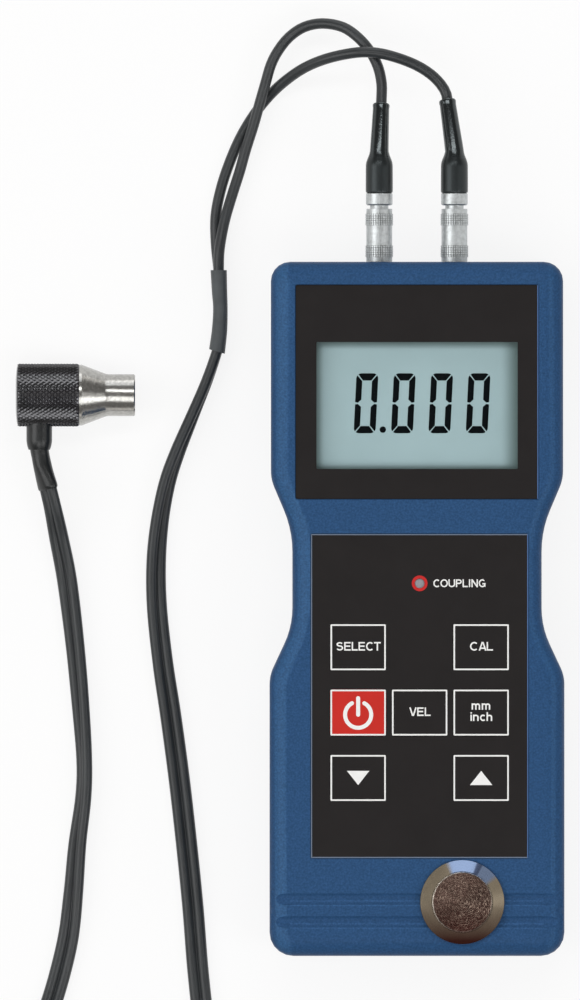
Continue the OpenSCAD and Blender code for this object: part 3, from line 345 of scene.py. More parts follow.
def two_zones(material):
    """Give the ringed finish other shades, roughness and ring depth inside FACE_R, and painted reflections
    and glints.
    """
    wire = Wiring(material.node_tree)
    radius = wire.made["radius"].outputs["Value"]
    flat = wire.made["radius"].inputs[0].links[0].from_socket
    way = wire.node("ShaderNodeVectorMath", flat, operation="NORMALIZE")

    def outside(low, high):
        return wire.ramp(radius, FACE_R * MM, (FACE_R + FACE_FADE) * MM, low, high)

    def toward(x, y, *ends):
        lean = wire.node("ShaderNodeVectorMath", way, (x, y, 0), operation="DOT_PRODUCT")
        return wire.ramp(lean.outputs["Value"], *ends)

    rings = wire.node("ShaderNodeValToRGB", wire.made["Noise Texture"])
    rings.color_ramp.elements.new(0.5)
    for stop, (position, colour) in zip(rings.color_ramp.elements, FACE_RINGS_AND_GLINTS):
        stop.position, stop.color = position, colour
    base = wire.shader.inputs["Base Color"]
    # Painted reflection on the chamfer: blue above, darker in a narrow gap
    chamfer = wire.mixed(toward(*REFLECTION_SIDE), base.links[0].from_socket, CHAMFER_REFLECTION_BLUE)
    chamfer = wire.mixed(toward(*REFLECTION_GAP_SIDE), chamfer, REFLECTION_GAP_DARK)
    # The painted glints are strongest towards the lower right and fade into plain brown away from it
    face = wire.mixed(toward(*GLINT_FADE_SIDE), rings, PLAIN_BROWN)
    whole = wire.mixed(outside(0, 1), face, chamfer)
    # Painted highlight along the edge of the face, on the left
    rim = wire.maths("COMPARE", radius, FACE_R * MM, RIM_REACH * MM)
    whole = wire.mixed(wire.maths("MULTIPLY", rim, toward(*EDGE_HIGHLIGHT_SIDE)), whole, FACE_EDGE_HIGHLIGHT)
    # Painted brown-red reflection, stronger towards the lower edge
    lower_reflection = wire.ramp(wire.made["middle"].outputs["Y"], REFLECTION_TOP * MM, REFLECTION_FOOT * MM, 0, 1)
    wire.feed(base, wire.mixed(lower_reflection, whole, LOWER_REFLECTION_BROWN))
    wire.feed(wire.shader.inputs["Roughness"], outside(FACE_ROUGH, CHAMFER_ROUGH))
    wire.feed(wire.made["Bump"].inputs["Distance"], outside(*[depth * MM for depth in RING_DEPTH]))


two_zones(paint.turned_disc)
print("test block face", FACE_R, "mm in radius")

# %% [markdown]
# The finger grooves across the foot are worn and shallow to the eye. Where they run, the housing's shading
# leans back towards that of the flat face, so they stay soft. A broken pale line along the bottom of each
# groove and another along its lower lip are painted highlights.

# %% Soft finger grooves with painted highlights
GROOVES_Y, GROOVE_REACH, GROOVE_FADE = (-72.8, -67.5), 1.9, 0.5
GROOVE_LEVEL, LEVEL_FADE = 26.5, 0.1
# Places, width and gain of the painted highlight lines in each groove
LIT_LINES_AT, LIT_LINE_REACH, LIT_LINE_HALF_L = (-0.4, -1.4), 0.2, 29.5
GROOVE_HIGHLIGHT_GAIN, LIT_LINE_BREAKS = (1.5, 1.4, 1.35, 1), (0.3, 0.7, 0.2, 1)


def soft_grooves(material):
    """In the grooves, lean a finish's normal back up and paint two broken pale lines as highlights."""
    wire = Wiring(material.node_tree)
    x, y, z = wire.coordinates()
    top = wire.ramp(z, GROOVE_LEVEL * MM, (GROOVE_LEVEL + LEVEL_FADE) * MM, 0, 1)

    def near(reach, shift):
        lines = [wire.maths("COMPARE", y, (groove + shift) * MM, reach * MM) for groove in GROOVES_Y]
        return wire.maths("MULTIPLY", wire.maths("MAXIMUM", *lines), top)

    share = wire.maths("MULTIPLY", near(GROOVE_REACH, 0), GROOVE_FADE)
    lean = wire.mixed(share, wire.made["Bump"], (0, 0, 1), "VECTOR")
    unit = wire.node("ShaderNodeVectorMath", lean, operation="NORMALIZE")
    wire.feed(wire.shader.inputs["Normal"], unit)
    # Painted highlights: a broken pale line at the bottom of each groove and along its lower lip
    lines = wire.maths("MAXIMUM", *[near(LIT_LINE_REACH, shift) for shift in LIT_LINES_AT])
    lines = wire.maths("MULTIPLY", lines, wire.maths("COMPARE", x, 0, LIT_LINE_HALF_L * MM))
    broken = wire.ramp(wire.made["Noise Texture"], *LIT_LINE_BREAKS)
    wire.repaint(wire.maths("MULTIPLY", lines, broken), GROOVE_HIGHLIGHT_GAIN, "MULTIPLY")


soft_grooves(paint.housing_blue)
print("grooves at y", GROOVES_Y)

# %% [markdown]
# The long rounded edges of the housing get a painted sheen: they are a little paler, most on the left
# side, where the light comes from. The direction that the surface faces tells where they are: a ramp on it
# picks out a band of the rounding.

# %% Painted sheen on the long edges
EDGE_SHEEN = (1.46, 1.35, 1.25, 1)
SHEEN_BANDS = [(-0.78, 0), (-0.66, 1), (-0.14, 1), (-0.03, 0), (0.18, 0), (0.3, 0.5), (0.45, 0.5), (0.58, 0)]


def paint_edge_sheen(material):
    """Paint a sheen: lighten a finish in the bands of SHEEN_BANDS, given as pairs of sideways lean and share.
    """
    wire = Wiring(material.node_tree)
    bands = wire.node("ShaderNodeValToRGB", wire.ramp(wire.coordinates("Normal")[0], -1, 1, 0, 1))
    stops = bands.color_ramp.elements
    for _ in SHEEN_BANDS[2:]:
        stops.new(0.5)
    for stop, (lean, share) in zip(stops, SHEEN_BANDS):
        stop.position, stop.color = (lean + 1) / 2, (share, share, share, 1)
    # Painted sheen on the rounded edges
    wire.repaint(bands, EDGE_SHEEN, "MULTIPLY")


paint_edge_sheen(paint.housing_blue)
print("painted sheen bands", len(SHEEN_BANDS) // 4)

# %% [markdown]
# A boot's bulb is matt and its tail is rubbed shiny, because the tail is what fingers bend. So its
# roughness runs down along Y, and its sheen is a little blue, as on soft black rubber.

# %% Shiny tails of the boots
BULB_Y, TAIL_Y = 104, 107
TAIL_SHINE = {"Roughness": (0.36, 0.14), "Specular IOR Level": (0.55, 0.85)}
RUBBER_SHEEN = (0.86, 0.97, 1, 1)
rubber = Wiring(paint.boot_black.node_tree)
boot_y = rubber.coordinates()[1]
for label, (bulb, tail) in TAIL_SHINE.items():
    rubber.feed(rubber.shader.inputs[label], rubber.ramp(boot_y, BULB_Y * MM, TAIL_Y * MM, bulb, tail))
rubber.feed(rubber.shader.inputs["Specular Tint"], RUBBER_SHEEN)
print("boots shine from y", TAIL_Y, "mm on")

# %% [markdown]
# The display's glass is darker along the edges of its window, where the frame shades it, in the widest band
# on the right. Four ramps, one from each edge, multiply to one factor.

# %% Shade along the edges of the display
WINDOW_W, WINDOW_H = 46.8, 29.5
RIM_START, RIM_WIDTHS, RIM_DARK = 0.3, (2.0, 4.2, 1.2, 1.8), (112, 134, 133)


def rim_shade(material, dark):
    """Darken a finish towards the left, right, bottom and top edges of the window."""
    low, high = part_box("display_window")
    middle = (low + high) / 2
    w, h = WINDOW_W / 2 * MM, WINDOW_H / 2 * MM
    edges = (middle.x - w, middle.x + w, middle.y - h, middle.y + h)
    wire = Wiring(material.node_tree)
    x, y, _ = wire.coordinates()
    inside = 1.0
    for place, edge, inward, width in zip((x, x, y, y), edges, (MM, -MM, MM, -MM), RIM_WIDTHS):
        near = wire.ramp(place, edge - inward * RIM_START, edge + inward * width, way="SMOOTHSTEP")
        inside = wire.maths("MULTIPLY", inside, near)
    wire.repaint(wire.maths("SUBTRACT", 1.0, inside), dark)


rim_shade(paint.display_grey, linear(*RIM_DARK))
print("window", WINDOW_W, "by", WINDOW_H, "mm")

# %% [markdown]
# ## Shading of the solids
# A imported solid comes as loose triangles, so light breaks at every one of them. A small Geometry Nodes tree
# joins the triangles and lets light flow over every edge that is nearly flat; real edges stay sharp. It
# sits on the solids as a modifier, so their own vertices stay as they were packed.


# %% A tree that smooths nearly flat edges
MERGE = 0.002


def shading_tree():
    """Geometry Nodes: merge by distance, then smooth the edges whose faces meet at a small angle."""
    tree = bpy.data.node_groups.new("flowing_shade", "GeometryNodeTree")
    tree.interface.new_socket("Geometry", in_out="INPUT", socket_type="NodeSocketGeometry")
    limit = tree.interface.new_socket("Limit", in_out="INPUT", socket_type="NodeSocketFloat")
    tree.interface.new_socket("Geometry", in_out="OUTPUT", socket_type="NodeSocketGeometry")
    wire = Wiring(tree)
    given = wire.node("NodeGroupInput").outputs
    merged = wire.node("GeometryNodeMergeByDistance", given["Geometry"], inputs={"Distance": MERGE * MM})
    faces = wire.node("GeometryNodeSetShadeSmooth", merged)
    angle = wire.node("GeometryNodeInputMeshEdgeAngle").outputs["Unsigned Angle"]
    gentle = wire.node("FunctionNodeCompare", angle, given["Limit"], operation="LESS_THAN")
    edges = wire.node("GeometryNodeSetShadeSmooth", faces, inputs={"Shade Smooth": gentle}, domain="EDGE")
    wire.node("NodeGroupOutput", edges)
    return tree, limit.identifier


flowing_shade, limit_socket = shading_tree()


def dress(material, *names, limit=32):
    """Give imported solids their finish, and shading that flows over edges below `limit` degrees."""
    for name in names:
        node = nodes[name]
        node.data.materials.clear()
        node.data.materials.append(material)
        shade = node.modifiers.new("flowing_shade", "NODES")
        shade.node_group = flowing_shade
        shade[limit_socket] = math.radians(limit)
        weigh = node.modifiers.new("even_normals", "WEIGHTED_NORMAL")
        weigh.keep_sharp = True


# %% [markdown]
# Every solid that no piece below stands in for gets its finish now, also those inside the housing. On the
# probe's turned body the limit is lower, so that its cone stays crisp.

# %% Dress the solids
KEYS = ["key_mode", "key_zero", "key_power", "key_speed", "key_unit", "key_down", "key_up"]
SIDES = ["left", "right"]
PLUG_PARTS = ["socket", "plug_body", "latch_sleeve", "collet_nut"]
dress(paint.housing_blue, "front_housing", "rear_housing", "battery_cover")
dress(paint.film_black, "display_panel", "keypad_panel", *[k for k in KEYS if k != "key_power"])
dress(paint.key_red, "key_power")
dress(paint.clear_pane, "display_window")
dress(paint.display_grey, "lcd_module")
dress(paint.lens_grey, "coupling_light")
dress(paint.turned_disc, "test_block")
dress(paint.screw_steel, "housing_screws", "board_screws", "battery_contacts", "battery_springs")
dress(paint.inner_black, "lcd_holder", "key_switches")
dress(paint.strip_pale, "lcd_contact_strips")
dress(paint.board_green, "main_board")
dress(paint.cell_wrap, "battery_1", "battery_2", "battery_3", "battery_4")
dress(paint.plug_metal, "socket_nuts", *[f"{side}_{part}" for side in SIDES for part in PLUG_PARTS])
dress(paint.relief_grey, "probe_ferrule")
dress(paint.tie_black, "coil_tie")
dress(paint.turned_steel, "probe_body", limit=14)
dress(paint.delay_amber, "probe_delay_blocks")
dress(paint.cork_brown, "probe_barrier")
print("dressed", sum(1 for n in nodes.values() if n.modifiers), "solids")

# %% [markdown]
# ## The two single cords
# Each plug has its own round cord. They leave the boots upwards in the picture, bend over together, cross
# twice and run one over the other into the sleeve at the split. Their weight makes the boots sag a little.

# %% Single cords
CORD_D = 2.5
END_Y = 80.75
SOCKET = (8.75, 17.6)
BOOT_BEND, CORD_LEAD, CORD_INSIDE = 26.0, 1.5, 1.5
BOOTS = {"left": (-1, -2.5, 10.8), "right": (1, 8, 11.8)}
SAG, SAG_GROWTH = 0.19, 0.0035
LEFT_POINTS = [
    (-8.2, 122.4, 14.1), (-9, 126.2, 13.2), (-10.8, 129.8, 12.3), (-13.6, 133.1, 11.3), (-17.2, 135.6, 10),
    (-21.9, 136.5, 8.4), (-26.2, 135.7, 7), (-29.7, 133.4, 6), (-32.3, 130.2, 5.4), (-34, 126.9, 5),
    (-35.3, 122.5, 4.7), (-36.6, 118, 4.3), (-38, 113, 3.8), (-39.9, 107, 3.2), (-41.3, 102, 2.9),
    (-42.9, 97, 2.9), (-44.8, 90.5, 3.3), (-46, 84, 4.1), (-46.2, 79, 4.3), (-46.15, 76, 4.25),
]
RIGHT_POINTS = [
    (5.6, 122.2, 14.2), (3.2, 124.6, 13.9), (-0.2, 126.7, 14.1), (-4.6, 128.4, 14.9), (-9.2, 129.5, 15.4),
    (-14, 129.6, 14.8), (-20.4, 128.4, 11.9), (-25.9, 126.3, 8.2), (-30.6, 123.2, 4.6), (-34.5, 119.6, 1.9),
    (-38, 115.2, 1.3), (-41.2, 109.8, 1.3), (-43.9, 103.5, 1.3), (-45.8, 97.5, 1.3), (-46.9, 91.5, 1.3),
    (-46.8, 85, 1.4), (-46.2, 79, 1.5), (-46.15, 76, 1.55),
]


def tail_place(side, d):
    """Place and direction of a boot's sagging tail, d millimetres past its bend."""
    x_sign, lean, _ = BOOTS[side]
    flat = Vector((-math.sin(math.radians(lean)), math.cos(math.radians(lean)), 0))
    place = Vector((x_sign * SOCKET[0], END_Y + BOOT_BEND, SOCKET[1])) + d * flat
    place.z -= SAG * d + SAG_GROWTH * d ** 2
    return place, (flat - Vector((0, 0, SAG + 2 * SAG_GROWTH * d))).normalized()


for side, points in (("left", LEFT_POINTS), ("right", RIGHT_POINTS)):
    tip, axis = tail_place(side, BOOTS[side][2])
    route = smooth_route([tip - CORD_INSIDE * axis, tip + CORD_LEAD * axis] + points, 1.2)
    rings = sweep_rings(route, circle(CORD_D / 2, 20), (axis, None))
    single_cord = skin(f"{side}_single_cord", rings, paint.cord_grey)
    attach(single_cord, "lead")
    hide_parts(f"{side}_cord")
    print(side, "cord", round(route_length(route)), "mm")

# %% [markdown]
# ## The boots
# A soft boot covers the end of each cord: a bulb on the collet nut, a shoulder and a slim tail that gives
# way to the cord's lean. The tail ends in a thin lip. One route with a radius at each point makes all of
# it.

# %% Boots over the cord ends
BOOT_START = 16.2
BULB = [(0, 3.08), (0.25, 3.15), (2.2, 3.16), (4.7, 3.15), (6.4, 3.13), (7, 3.04), (7.7, 2.82), (8.4, 2.54),
        (9.1, 2.3), (9.6, 2.2)]
TAIL = [(0.11, 2.15), (0.3, 2.09), (0.52, 2.02), (0.74, 1.96), (0.917, 1.92), (0.954, 1.98), (0.98, 1.98),
        (1, 1.86)]
for side, (x_sign, _, tail) in BOOTS.items():
    axis = tail_place(side, tail)[1]
    root = Vector((x_sign * SOCKET[0], END_Y + BOOT_START, SOCKET[1]))
    stations = [(*(root + Vector((0, d, 0))), r) for d, r in BULB]
    stations += [(*tail_place(side, s * tail)[0], r) for s, r in TAIL]
    boot_route = smooth_route(stations, 0.4)
    boot_rings = sweep_rings(boot_route, lambda i: circle(boot_route[i][3], 40), ((0, 1, 0), axis))
    boot = skin(f"{side}_soft_boot", boot_rings, paint.boot_black)
    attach(boot, "lead")
    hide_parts(f"{side}_boot")
    print(side, "boot of", len(boot_rings), "rings")

# %% [markdown]
# ## The twin cord
# Below the split the two strands are moulded together as a flat figure of eight. It leaves the sleeve
# standing on its edge, rolls over and lies flat. What the picture doesn't show is wound in a neat coil
# beside it, and the end comes back up to the probe. One list of points carries the place and the roll.

# %% Twin cord with its coil
COIL_MIDDLE, COIL_R, COIL_TURNS = (-67.8, -131), 27, 3.5
COIL_START_Z, COIL_RISE, TURN_STEPS = 2.05, 2.6, 24
WEB_ANGLE = 20
TWIN_DOWN = [
    (-45.9, 63, 2.9, 90), (-46.6, 60, 2.9, 90), (-49, 53, 2.6, 85), (-52.5, 44.5, 2.5, 76),
    (-56, 36, 2.4, 64), (-58.3, 29, 2.3, 54), (-60, 20, 2.1, 44), (-60.8, 10.5, 2, 33), (-60.6, 0, 1.8, 25),
    (-59.2, -13, 1.6, 15), (-57.4, -25, 1.4, 6), (-55.4, -40, 1.3, 0), (-53.7, -55, 1.3, 0),
    (-52.2, -70, 1.3, 0), (-51, -85, 1.3, 0), (-49.5, -97, 1.5, 0), (-46.8, -107, 1.9, 0),
    (-44.4, -114, 2.05, 0), (-42, -121, 2.05, 0),
]
TWIN_UP = [
    (-94.6, -124.5, 10.3, 0), (-93.4, -118, 8.6, 0), (-91.5, -110, 6, 0), (-88.6, -101, 3, 0),
    (-85.6, -93, 1.5, 0), (-83.2, -85, 1.3, 0), (-81.2, -76, 1.6, 12), (-80.1, -66, 2, 33),
    (-79.2, -55, 2.2, 45),
    (-77.8, -44, 2.4, 58), (-77.6, -35, 2.4, 60), (-78.5, -22, 2.2, 46), (-79.8, -8, 2.1, 38),
    (-81.6, 6.5, 2.3, 28), (-83.4, 16, 4, 34), (-84.8, 23, 6.4, 46), (-85.94, 27.89, 7.35, 50),
    (-86.4, 29.9, 7.35, 50),
]
coil = []
for i in range(int(COIL_TURNS * TURN_STEPS) + 1):
    a = -2 * math.pi * i / TURN_STEPS
    coil.append((COIL_MIDDLE[0] + COIL_R * math.cos(a), COIL_MIDDLE[1] + COIL_R * math.sin(a),
                 COIL_START_Z + COIL_RISE * i / TURN_STEPS, 0))
twin_route = smooth_route(TWIN_DOWN + coil + TWIN_UP, 2.0)


def figure_of_eight(strand, steps):
    """Section of two round strands side by side, joined by a web."""
    r = strand / 2
    return (arc(r, 0, r, r, 180 + WEB_ANGLE, 540 - WEB_ANGLE, steps)
            + arc(-r, 0, r, r, WEB_ANGLE, 360 - WEB_ANGLE, steps))


twin_rings = sweep_rings(twin_route, figure_of_eight(CORD_D, 10),
                         rolls=[math.radians(p[3]) for p in twin_route])
twin_cord = skin("twin_cord", twin_rings, paint.cord_grey)
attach(twin_cord, "lead")
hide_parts("twin_cord_a", "cord_coil", "twin_cord_b")

# %% [markdown]
# ## The sleeve at the split
# A length of shrunk tube covers the place where the strands part. It is a flat oval, a little wider at both
# ends, where it was cut before it shrank, and its wall shows as a thin lip.

# %% Shrunk sleeve
SPLIT_POINTS = [(-46.2, 79, 2.9), (-46, 74, 2.9), (-45.8, 70, 2.9), (-46, 65, 2.9), (-46.6, 60, 2.9)]
SPLIT_HALF_W = [1.9, 1.8, 1.7, 1.8, 1.9]
SPLIT_HALF_H, SPLIT_WALL, SPLIT_LIP, SPLIT_STEP = 2.85, 0.3, 1.5, 0.6
SPLIT_ENDS = ((0, -1, 0), (-0.28, -0.96, 0))
split_route = smooth_route([(*p, w) for p, w in zip(SPLIT_POINTS, SPLIT_HALF_W)], SPLIT_STEP)


def oval(half_w, half_h, sides=28, power=0.75):
    """Flat oval section: a superellipse."""
    return [(math.copysign(abs(c) ** power * half_w, c), math.copysign(abs(s) ** power * half_h, s))
            for c, s in circle(1, sides)]


def sleeve_rings(grow):
    """Rings along the sleeve, moved out by `grow`."""
    return sweep_rings(split_route, lambda i: oval(split_route[i][3] + grow, SPLIT_HALF_H + grow), SPLIT_ENDS)


outer, inner = sleeve_rings(0), sleeve_rings(-SPLIT_WALL)
lip_rings = round(SPLIT_LIP / SPLIT_STEP)
whole = inner[lip_rings::-1] + outer + inner[:-lip_rings - 1:-1]
split_sleeve = skin("shrunk_sleeve", whole, paint.shrink_grey)
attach(split_sleeve, "lead")
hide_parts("split_sleeve")
print("sleeve", round(route_length(split_route)), "mm long")

# %% [markdown]
# ## The strain relief
# Where the cord leaves the probe, a soft tube was shrunk over it: round on the ferrule, a flat oval over
# the two strands at its end. So the section changes along the tube, which is rolled as the cord is.

# %% Strain relief of the probe
RELIEF = [
    (-88.05, 37.3, 7.35, 2.2, 2.2), (-87.75, 35.6, 7.35, 2.1, 2.15), (-87.35, 33.6, 7.35, 2.12, 2.2),
    (-86.85, 31.4, 7.35, 2.5, 2), (-86.3, 29.3, 7.35, 2.85, 1.85), (-86, 28.2, 7.35, 2.9, 1.8),
    (-85.92, 27.85, 7.35, 2.7, 1.6),
]
RELIEF_ROLL = -50
relief_route = smooth_route(RELIEF, 0.5)
relief_rings = sweep_rings(relief_route, lambda i: oval(relief_route[i][3], relief_route[i][4], power=1),
                           ((0, -1, 0), None), [math.radians(RELIEF_ROLL)] * len(relief_route))
relief_tube = skin("relief_tube", relief_rings, paint.relief_grey)
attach(relief_tube, "lead")
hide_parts("probe_relief")
print("relief", round(route_length(relief_route), 1), "mm long")

# %% [markdown]
# ## Knurls
# The probe's cap has a diamond knurl and the plugs have bands of square points. Both are one small shape
# repeated round a cylinder, which is what Geometry Nodes do best: points in rows, a tooth on each point,
# then Realize Instances, so that the teeth are plain mesh.


# %% A tree that sets teeth round a cylinder
TOOTH_INPUTS = {"Radius": "Float", "Columns": "Int", "Rows": "Int", "Row Step": "Float",
                "Stagger": "Float",
                "Tooth Length": "Float", "Tooth Width": "Float", "Tooth Height": "Float",
                "Tooth Tip": "Float", "Tooth Turn": "Float", "Finish": "Material"}


def tooth_tree():
    """Geometry Nodes: rows of four-sided teeth round X, from x = 0: diamonds, or squares if turned."""
    tree = bpy.data.node_groups.new("teeth_round_cylinder", "GeometryNodeTree")
    sockets = {}
    for label, kind in TOOTH_INPUTS.items():
        made = tree.interface.new_socket(label, in_out="INPUT", socket_type=f"NodeSocket{kind}")
        sockets[label] = made.identifier
    tree.interface.new_socket("Geometry", in_out="OUTPUT", socket_type="NodeSocketGeometry")
    wire = Wiring(tree)
    maths, vector = wire.maths, wire.vector
    given = wire.node("NodeGroupInput").outputs
    index = wire.node("GeometryNodeInputIndex")
    columns, radius = given["Columns"], given["Radius"]
    row = maths("FLOOR", maths("DIVIDE", maths("ADD", index, 0.5), columns))
    column = maths("SUBTRACT", index, maths("MULTIPLY", row, columns))
    shift = maths("MULTIPLY", maths("MODULO", row, 2), given["Stagger"])
    turn = maths("MULTIPLY", maths("DIVIDE", maths("ADD", column, shift), columns), 2 * math.pi)
    spot = vector(maths("MULTIPLY", row, given["Row Step"]),
                  maths("MULTIPLY", maths("SINE", turn), maths("MULTIPLY", radius, -1)),
                  maths("MULTIPLY", maths("COSINE", turn), radius))
    points = wire.node("GeometryNodePoints", maths("MULTIPLY", columns, given["Rows"]), spot)
    tooth = wire.node("GeometryNodeMeshCone", inputs={"Vertices": 4, "Radius Top": given["Tooth Tip"],
                                                      "Radius Bottom": 1, "Depth": 1})
    turned = wire.node("GeometryNodeTransform", tooth, inputs={"Rotation": vector(0, 0, given["Tooth Turn"])})
    facing = wire.node("FunctionNodeEulerToRotation", vector(turn, 0, 0))
    size = vector(maths("DIVIDE", given["Tooth Length"], 2), maths("DIVIDE", given["Tooth Width"], 2),
                  given["Tooth Height"])
    teeth = wire.node("GeometryNodeInstanceOnPoints",
                      inputs={"Points": points, "Instance": turned, "Rotation": facing, "Scale": size})
    real = wire.node("GeometryNodeRealizeInstances", teeth)
    painted = wire.node("GeometryNodeSetMaterial", real, inputs={"Material": given["Finish"]})
    wire.node("NodeGroupOutput", painted)
    return tree, sockets


teeth_round_cylinder, tooth_sockets = tooth_tree()


def knurl(name, place, **sizes):
    """Teeth from the tree as a plain mesh, with its place applied. Lengths are in millimetres."""
    carrier = add(name + "_carrier", bpy.data.meshes.new(name + "_carrier"))
    modifier = carrier.modifiers.new("teeth", "NODES")
    modifier.node_group = teeth_round_cylinder
    for label, value in sizes.items():
        label = label.replace("_", " ").title()
        modifier[tooth_sockets[label]] = value
    evaluated = carrier.evaluated_get(bpy.context.evaluated_depsgraph_get())
    mesh = bpy.data.meshes.new_from_object(evaluated)
    mesh.name = name
    mesh.transform(Matrix.Scale(MM, 4) @ place)
    bpy.data.objects.remove(carrier)
    return add(name, mesh)


# %% [markdown]
# ## The probe's cap
# The cap is a turned black barrel with a slightly domed end. The knurl's crests reach the cap's real
# diameter, so the barrel under them is thinner by the depth of the knurl.


# %% Turned pieces
def turn_piece(name, profile, place, material, segments=96):
    """Solid of revolution about X from (x, radius) pairs, in millimetres, with its place applied."""
    rings = [[place @ Vector((x, c, s)) for c, s in circle(r, segments)] for x, r in profile]
    return skin(name, rings, material)


# %% Knurled cap
PROBE_Y, PROBE_Z = 49.8, 7.35
CAP_END_X, CAP_L, CAP_R = -93.5, 14.8, 7.35
KNURL_DEPTH, KNURL_START = 0.25, 0.98
TOOTH_SINK, TOOTH_FILL = 0.02, 1.02
CAP_COLUMNS, CAP_ROW_STEP, CAP_ROWS = 48, 0.69, 20
probe_place = Matrix.Translation((CAP_END_X, PROBE_Y, PROBE_Z))
core_r = CAP_R - KNURL_DEPTH
CAP_PROFILE = [(0, 0.3), (0, 4.4), (0.2, 6.2), (0.3, 6.7), (0.5, 6.95), (0.8, core_r), (CAP_L - 0.1, core_r),
               (CAP_L, core_r - 0.1), (CAP_L, 5.6), (CAP_L - 2, 5.56)]
cap_core = turn_piece("cap_barrel", CAP_PROFILE, probe_place, paint.cap_black)
cap_teeth = knurl("cap_knurl", Matrix.Translation((CAP_END_X + KNURL_START, PROBE_Y, PROBE_Z)),
                  radius=core_r - TOOTH_SINK, columns=CAP_COLUMNS, rows=CAP_ROWS, row_step=CAP_ROW_STEP,
                  stagger=0.5, tooth_length=2 * CAP_ROW_STEP,
                  tooth_width=2 * math.pi * core_r / CAP_COLUMNS * TOOTH_FILL,
                  tooth_height=KNURL_DEPTH, tooth_tip=0.25, tooth_turn=0.0, finish=paint.cap_black)
for piece in (cap_core, cap_teeth):
    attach(piece, "lead")
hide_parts("probe_cap")
print("cap knurl", len(cap_teeth.data.polygons), "faces")

# %% [markdown]
# The probe is what the twin cord carries at its far end. Its pieces, with the cap, the relief, the tie and
# the sleeve, are gathered in one list here, now that all of them are made.

# %% The cord ends in the probe
PROBE_SOLIDS = ["probe_body", "probe_delay_blocks", "probe_barrier", "probe_ferrule"]
carried = [nodes[n] for n in PROBE_SOLIDS]
carried += [cap_core, cap_teeth, relief_tube, nodes["coil_tie"], split_sleeve]

# %% [markdown]
# ## Grip bands of the plugs
# Each latch sleeve has two bands of fine square points, cut by crossing straight and round grooves. The
# same tree makes them: its teeth turned by an eighth of a circle, in rows that aren't staggered.

# %% Bands on the latch sleeves
SLEEVE_R, BAND_L, BAND_ROWS, BAND_COLUMNS = 3.1, 2.7, 5, 36
BAND_STARTS = (1.15, 8.55)
BAND_STEP = BAND_L / BAND_ROWS
POINT_FILL, POINT_H, POINT_TIP = 1.35, 0.14, 0.84
FLOOR_R, FLOOR_ROOT_R = SLEEVE_R + 0.015, SLEEVE_R - 0.1
BAND_FLOOR = [(0, FLOOR_ROOT_R), (0, FLOOR_R), (BAND_L, FLOOR_R), (BAND_L, FLOOR_ROOT_R)]
along_y = Matrix.Rotation(math.radians(90), 4, "Z")
for side, x_sign in (("left", -1), ("right", 1)):
    bands = bmesh.new()
    for start in BAND_STARTS:
        place = Matrix.Translation((x_sign * SOCKET[0], END_Y + start + BAND_STEP / 2, SOCKET[1])) @ along_y
        band = knurl(f"{side}_band", place, radius=SLEEVE_R - TOOTH_SINK, columns=BAND_COLUMNS,
                     rows=BAND_ROWS, row_step=BAND_STEP, stagger=0.0, tooth_length=BAND_STEP * POINT_FILL,
                     tooth_width=2 * math.pi * SLEEVE_R / BAND_COLUMNS * POINT_FILL, tooth_height=POINT_H,
                     tooth_tip=POINT_TIP, tooth_turn=math.radians(45), finish=paint.plug_metal)
        bands.from_mesh(band.data)
        bpy.data.objects.remove(band)
        place = Matrix.Translation((x_sign * SOCKET[0], END_Y + start, SOCKET[1])) @ along_y
        number = BAND_STARTS.index(start) + 1
        # A dark floor under each band stands for dirt and painted shade between the points
        grooves = turn_piece(f"{side}_grooves_{number}", BAND_FLOOR, place, paint.groove_grey, 72)
        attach(grooves, f"{side}_latch_sleeve")
    mesh = bpy.data.meshes.new(f"{side}_grip_bands")
    bands.to_mesh(mesh)
    bands.free()
    mesh.materials.append(paint.plug_metal)
    grip = add(f"{side}_grip_bands", mesh)
    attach(grip, f"{side}_latch_sleeve")
print("grip bands of", BAND_ROWS * BAND_COLUMNS, "points")

# %% [markdown]
# ## Printing on the films
# The films carry thin print: a white frame round each key, the words and signs of its function in white,
# and a red ring round the light. Print is a very thin solid that lies on its film, so it shows from any
# side, and it rides on the body that carries it.

# %% Flat print from outlines
FILM_Z = 28.8
PRINT_T = 0.02


def flat_print(name, outlines, material, body, z=FILM_Z, lift=0.0):
    """Thin solid from outlines, each points or an outer and an inner loop; lift parts those that cross."""
    mesh = bpy.data.meshes.new(name)
    shape = bmesh.new()
    for i, outline in enumerate(outlines):
        loops = outline if isinstance(outline, tuple) else (outline,)
        rows = [[shape.verts.new((x * MM, y * MM, (z + i * lift) * MM)) for x, y in loop] for loop in loops]
        if len(rows) == 1:
            shape.faces.new(rows[0])
        else:
            n = len(rows[0])
            for j in range(n):
                k = (j + 1) % n
                shape.faces.new((rows[0][j], rows[0][k], rows[1][k], rows[1][j]))
    bmesh.ops.recalc_face_normals(shape, faces=shape.faces)
    for face in shape.faces:
        if face.normal.z < 0:
            face.normal_flip()
    up = bmesh.ops.extrude_face_region(shape, geom=shape.faces[:])
    top = [v for v in up["geom"] if isinstance(v, bmesh.types.BMVert)]
    bmesh.ops.translate(shape, vec=(0, 0, PRINT_T * MM), verts=top)
    bmesh.ops.recalc_face_normals(shape, faces=shape.faces)
    shape.to_mesh(mesh)
    shape.free()
    mesh.materials.append(material)
    piece = add(name, mesh)
    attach(piece, body)
    return piece


def round_rect(x, y, w, h, r, steps=6):
    """Rectangle with round corners, anticlockwise."""
    loop = []
    for cx, cy, start in ((w / 2 - r, h / 2 - r, 0), (r - w / 2, h / 2 - r, 90), (r - w / 2, r - h / 2, 180),
                          (w / 2 - r, r - h / 2, 270)):
        loop += arc(x + cx, y + cy, r, r, start, start + 90, steps)
    return loop


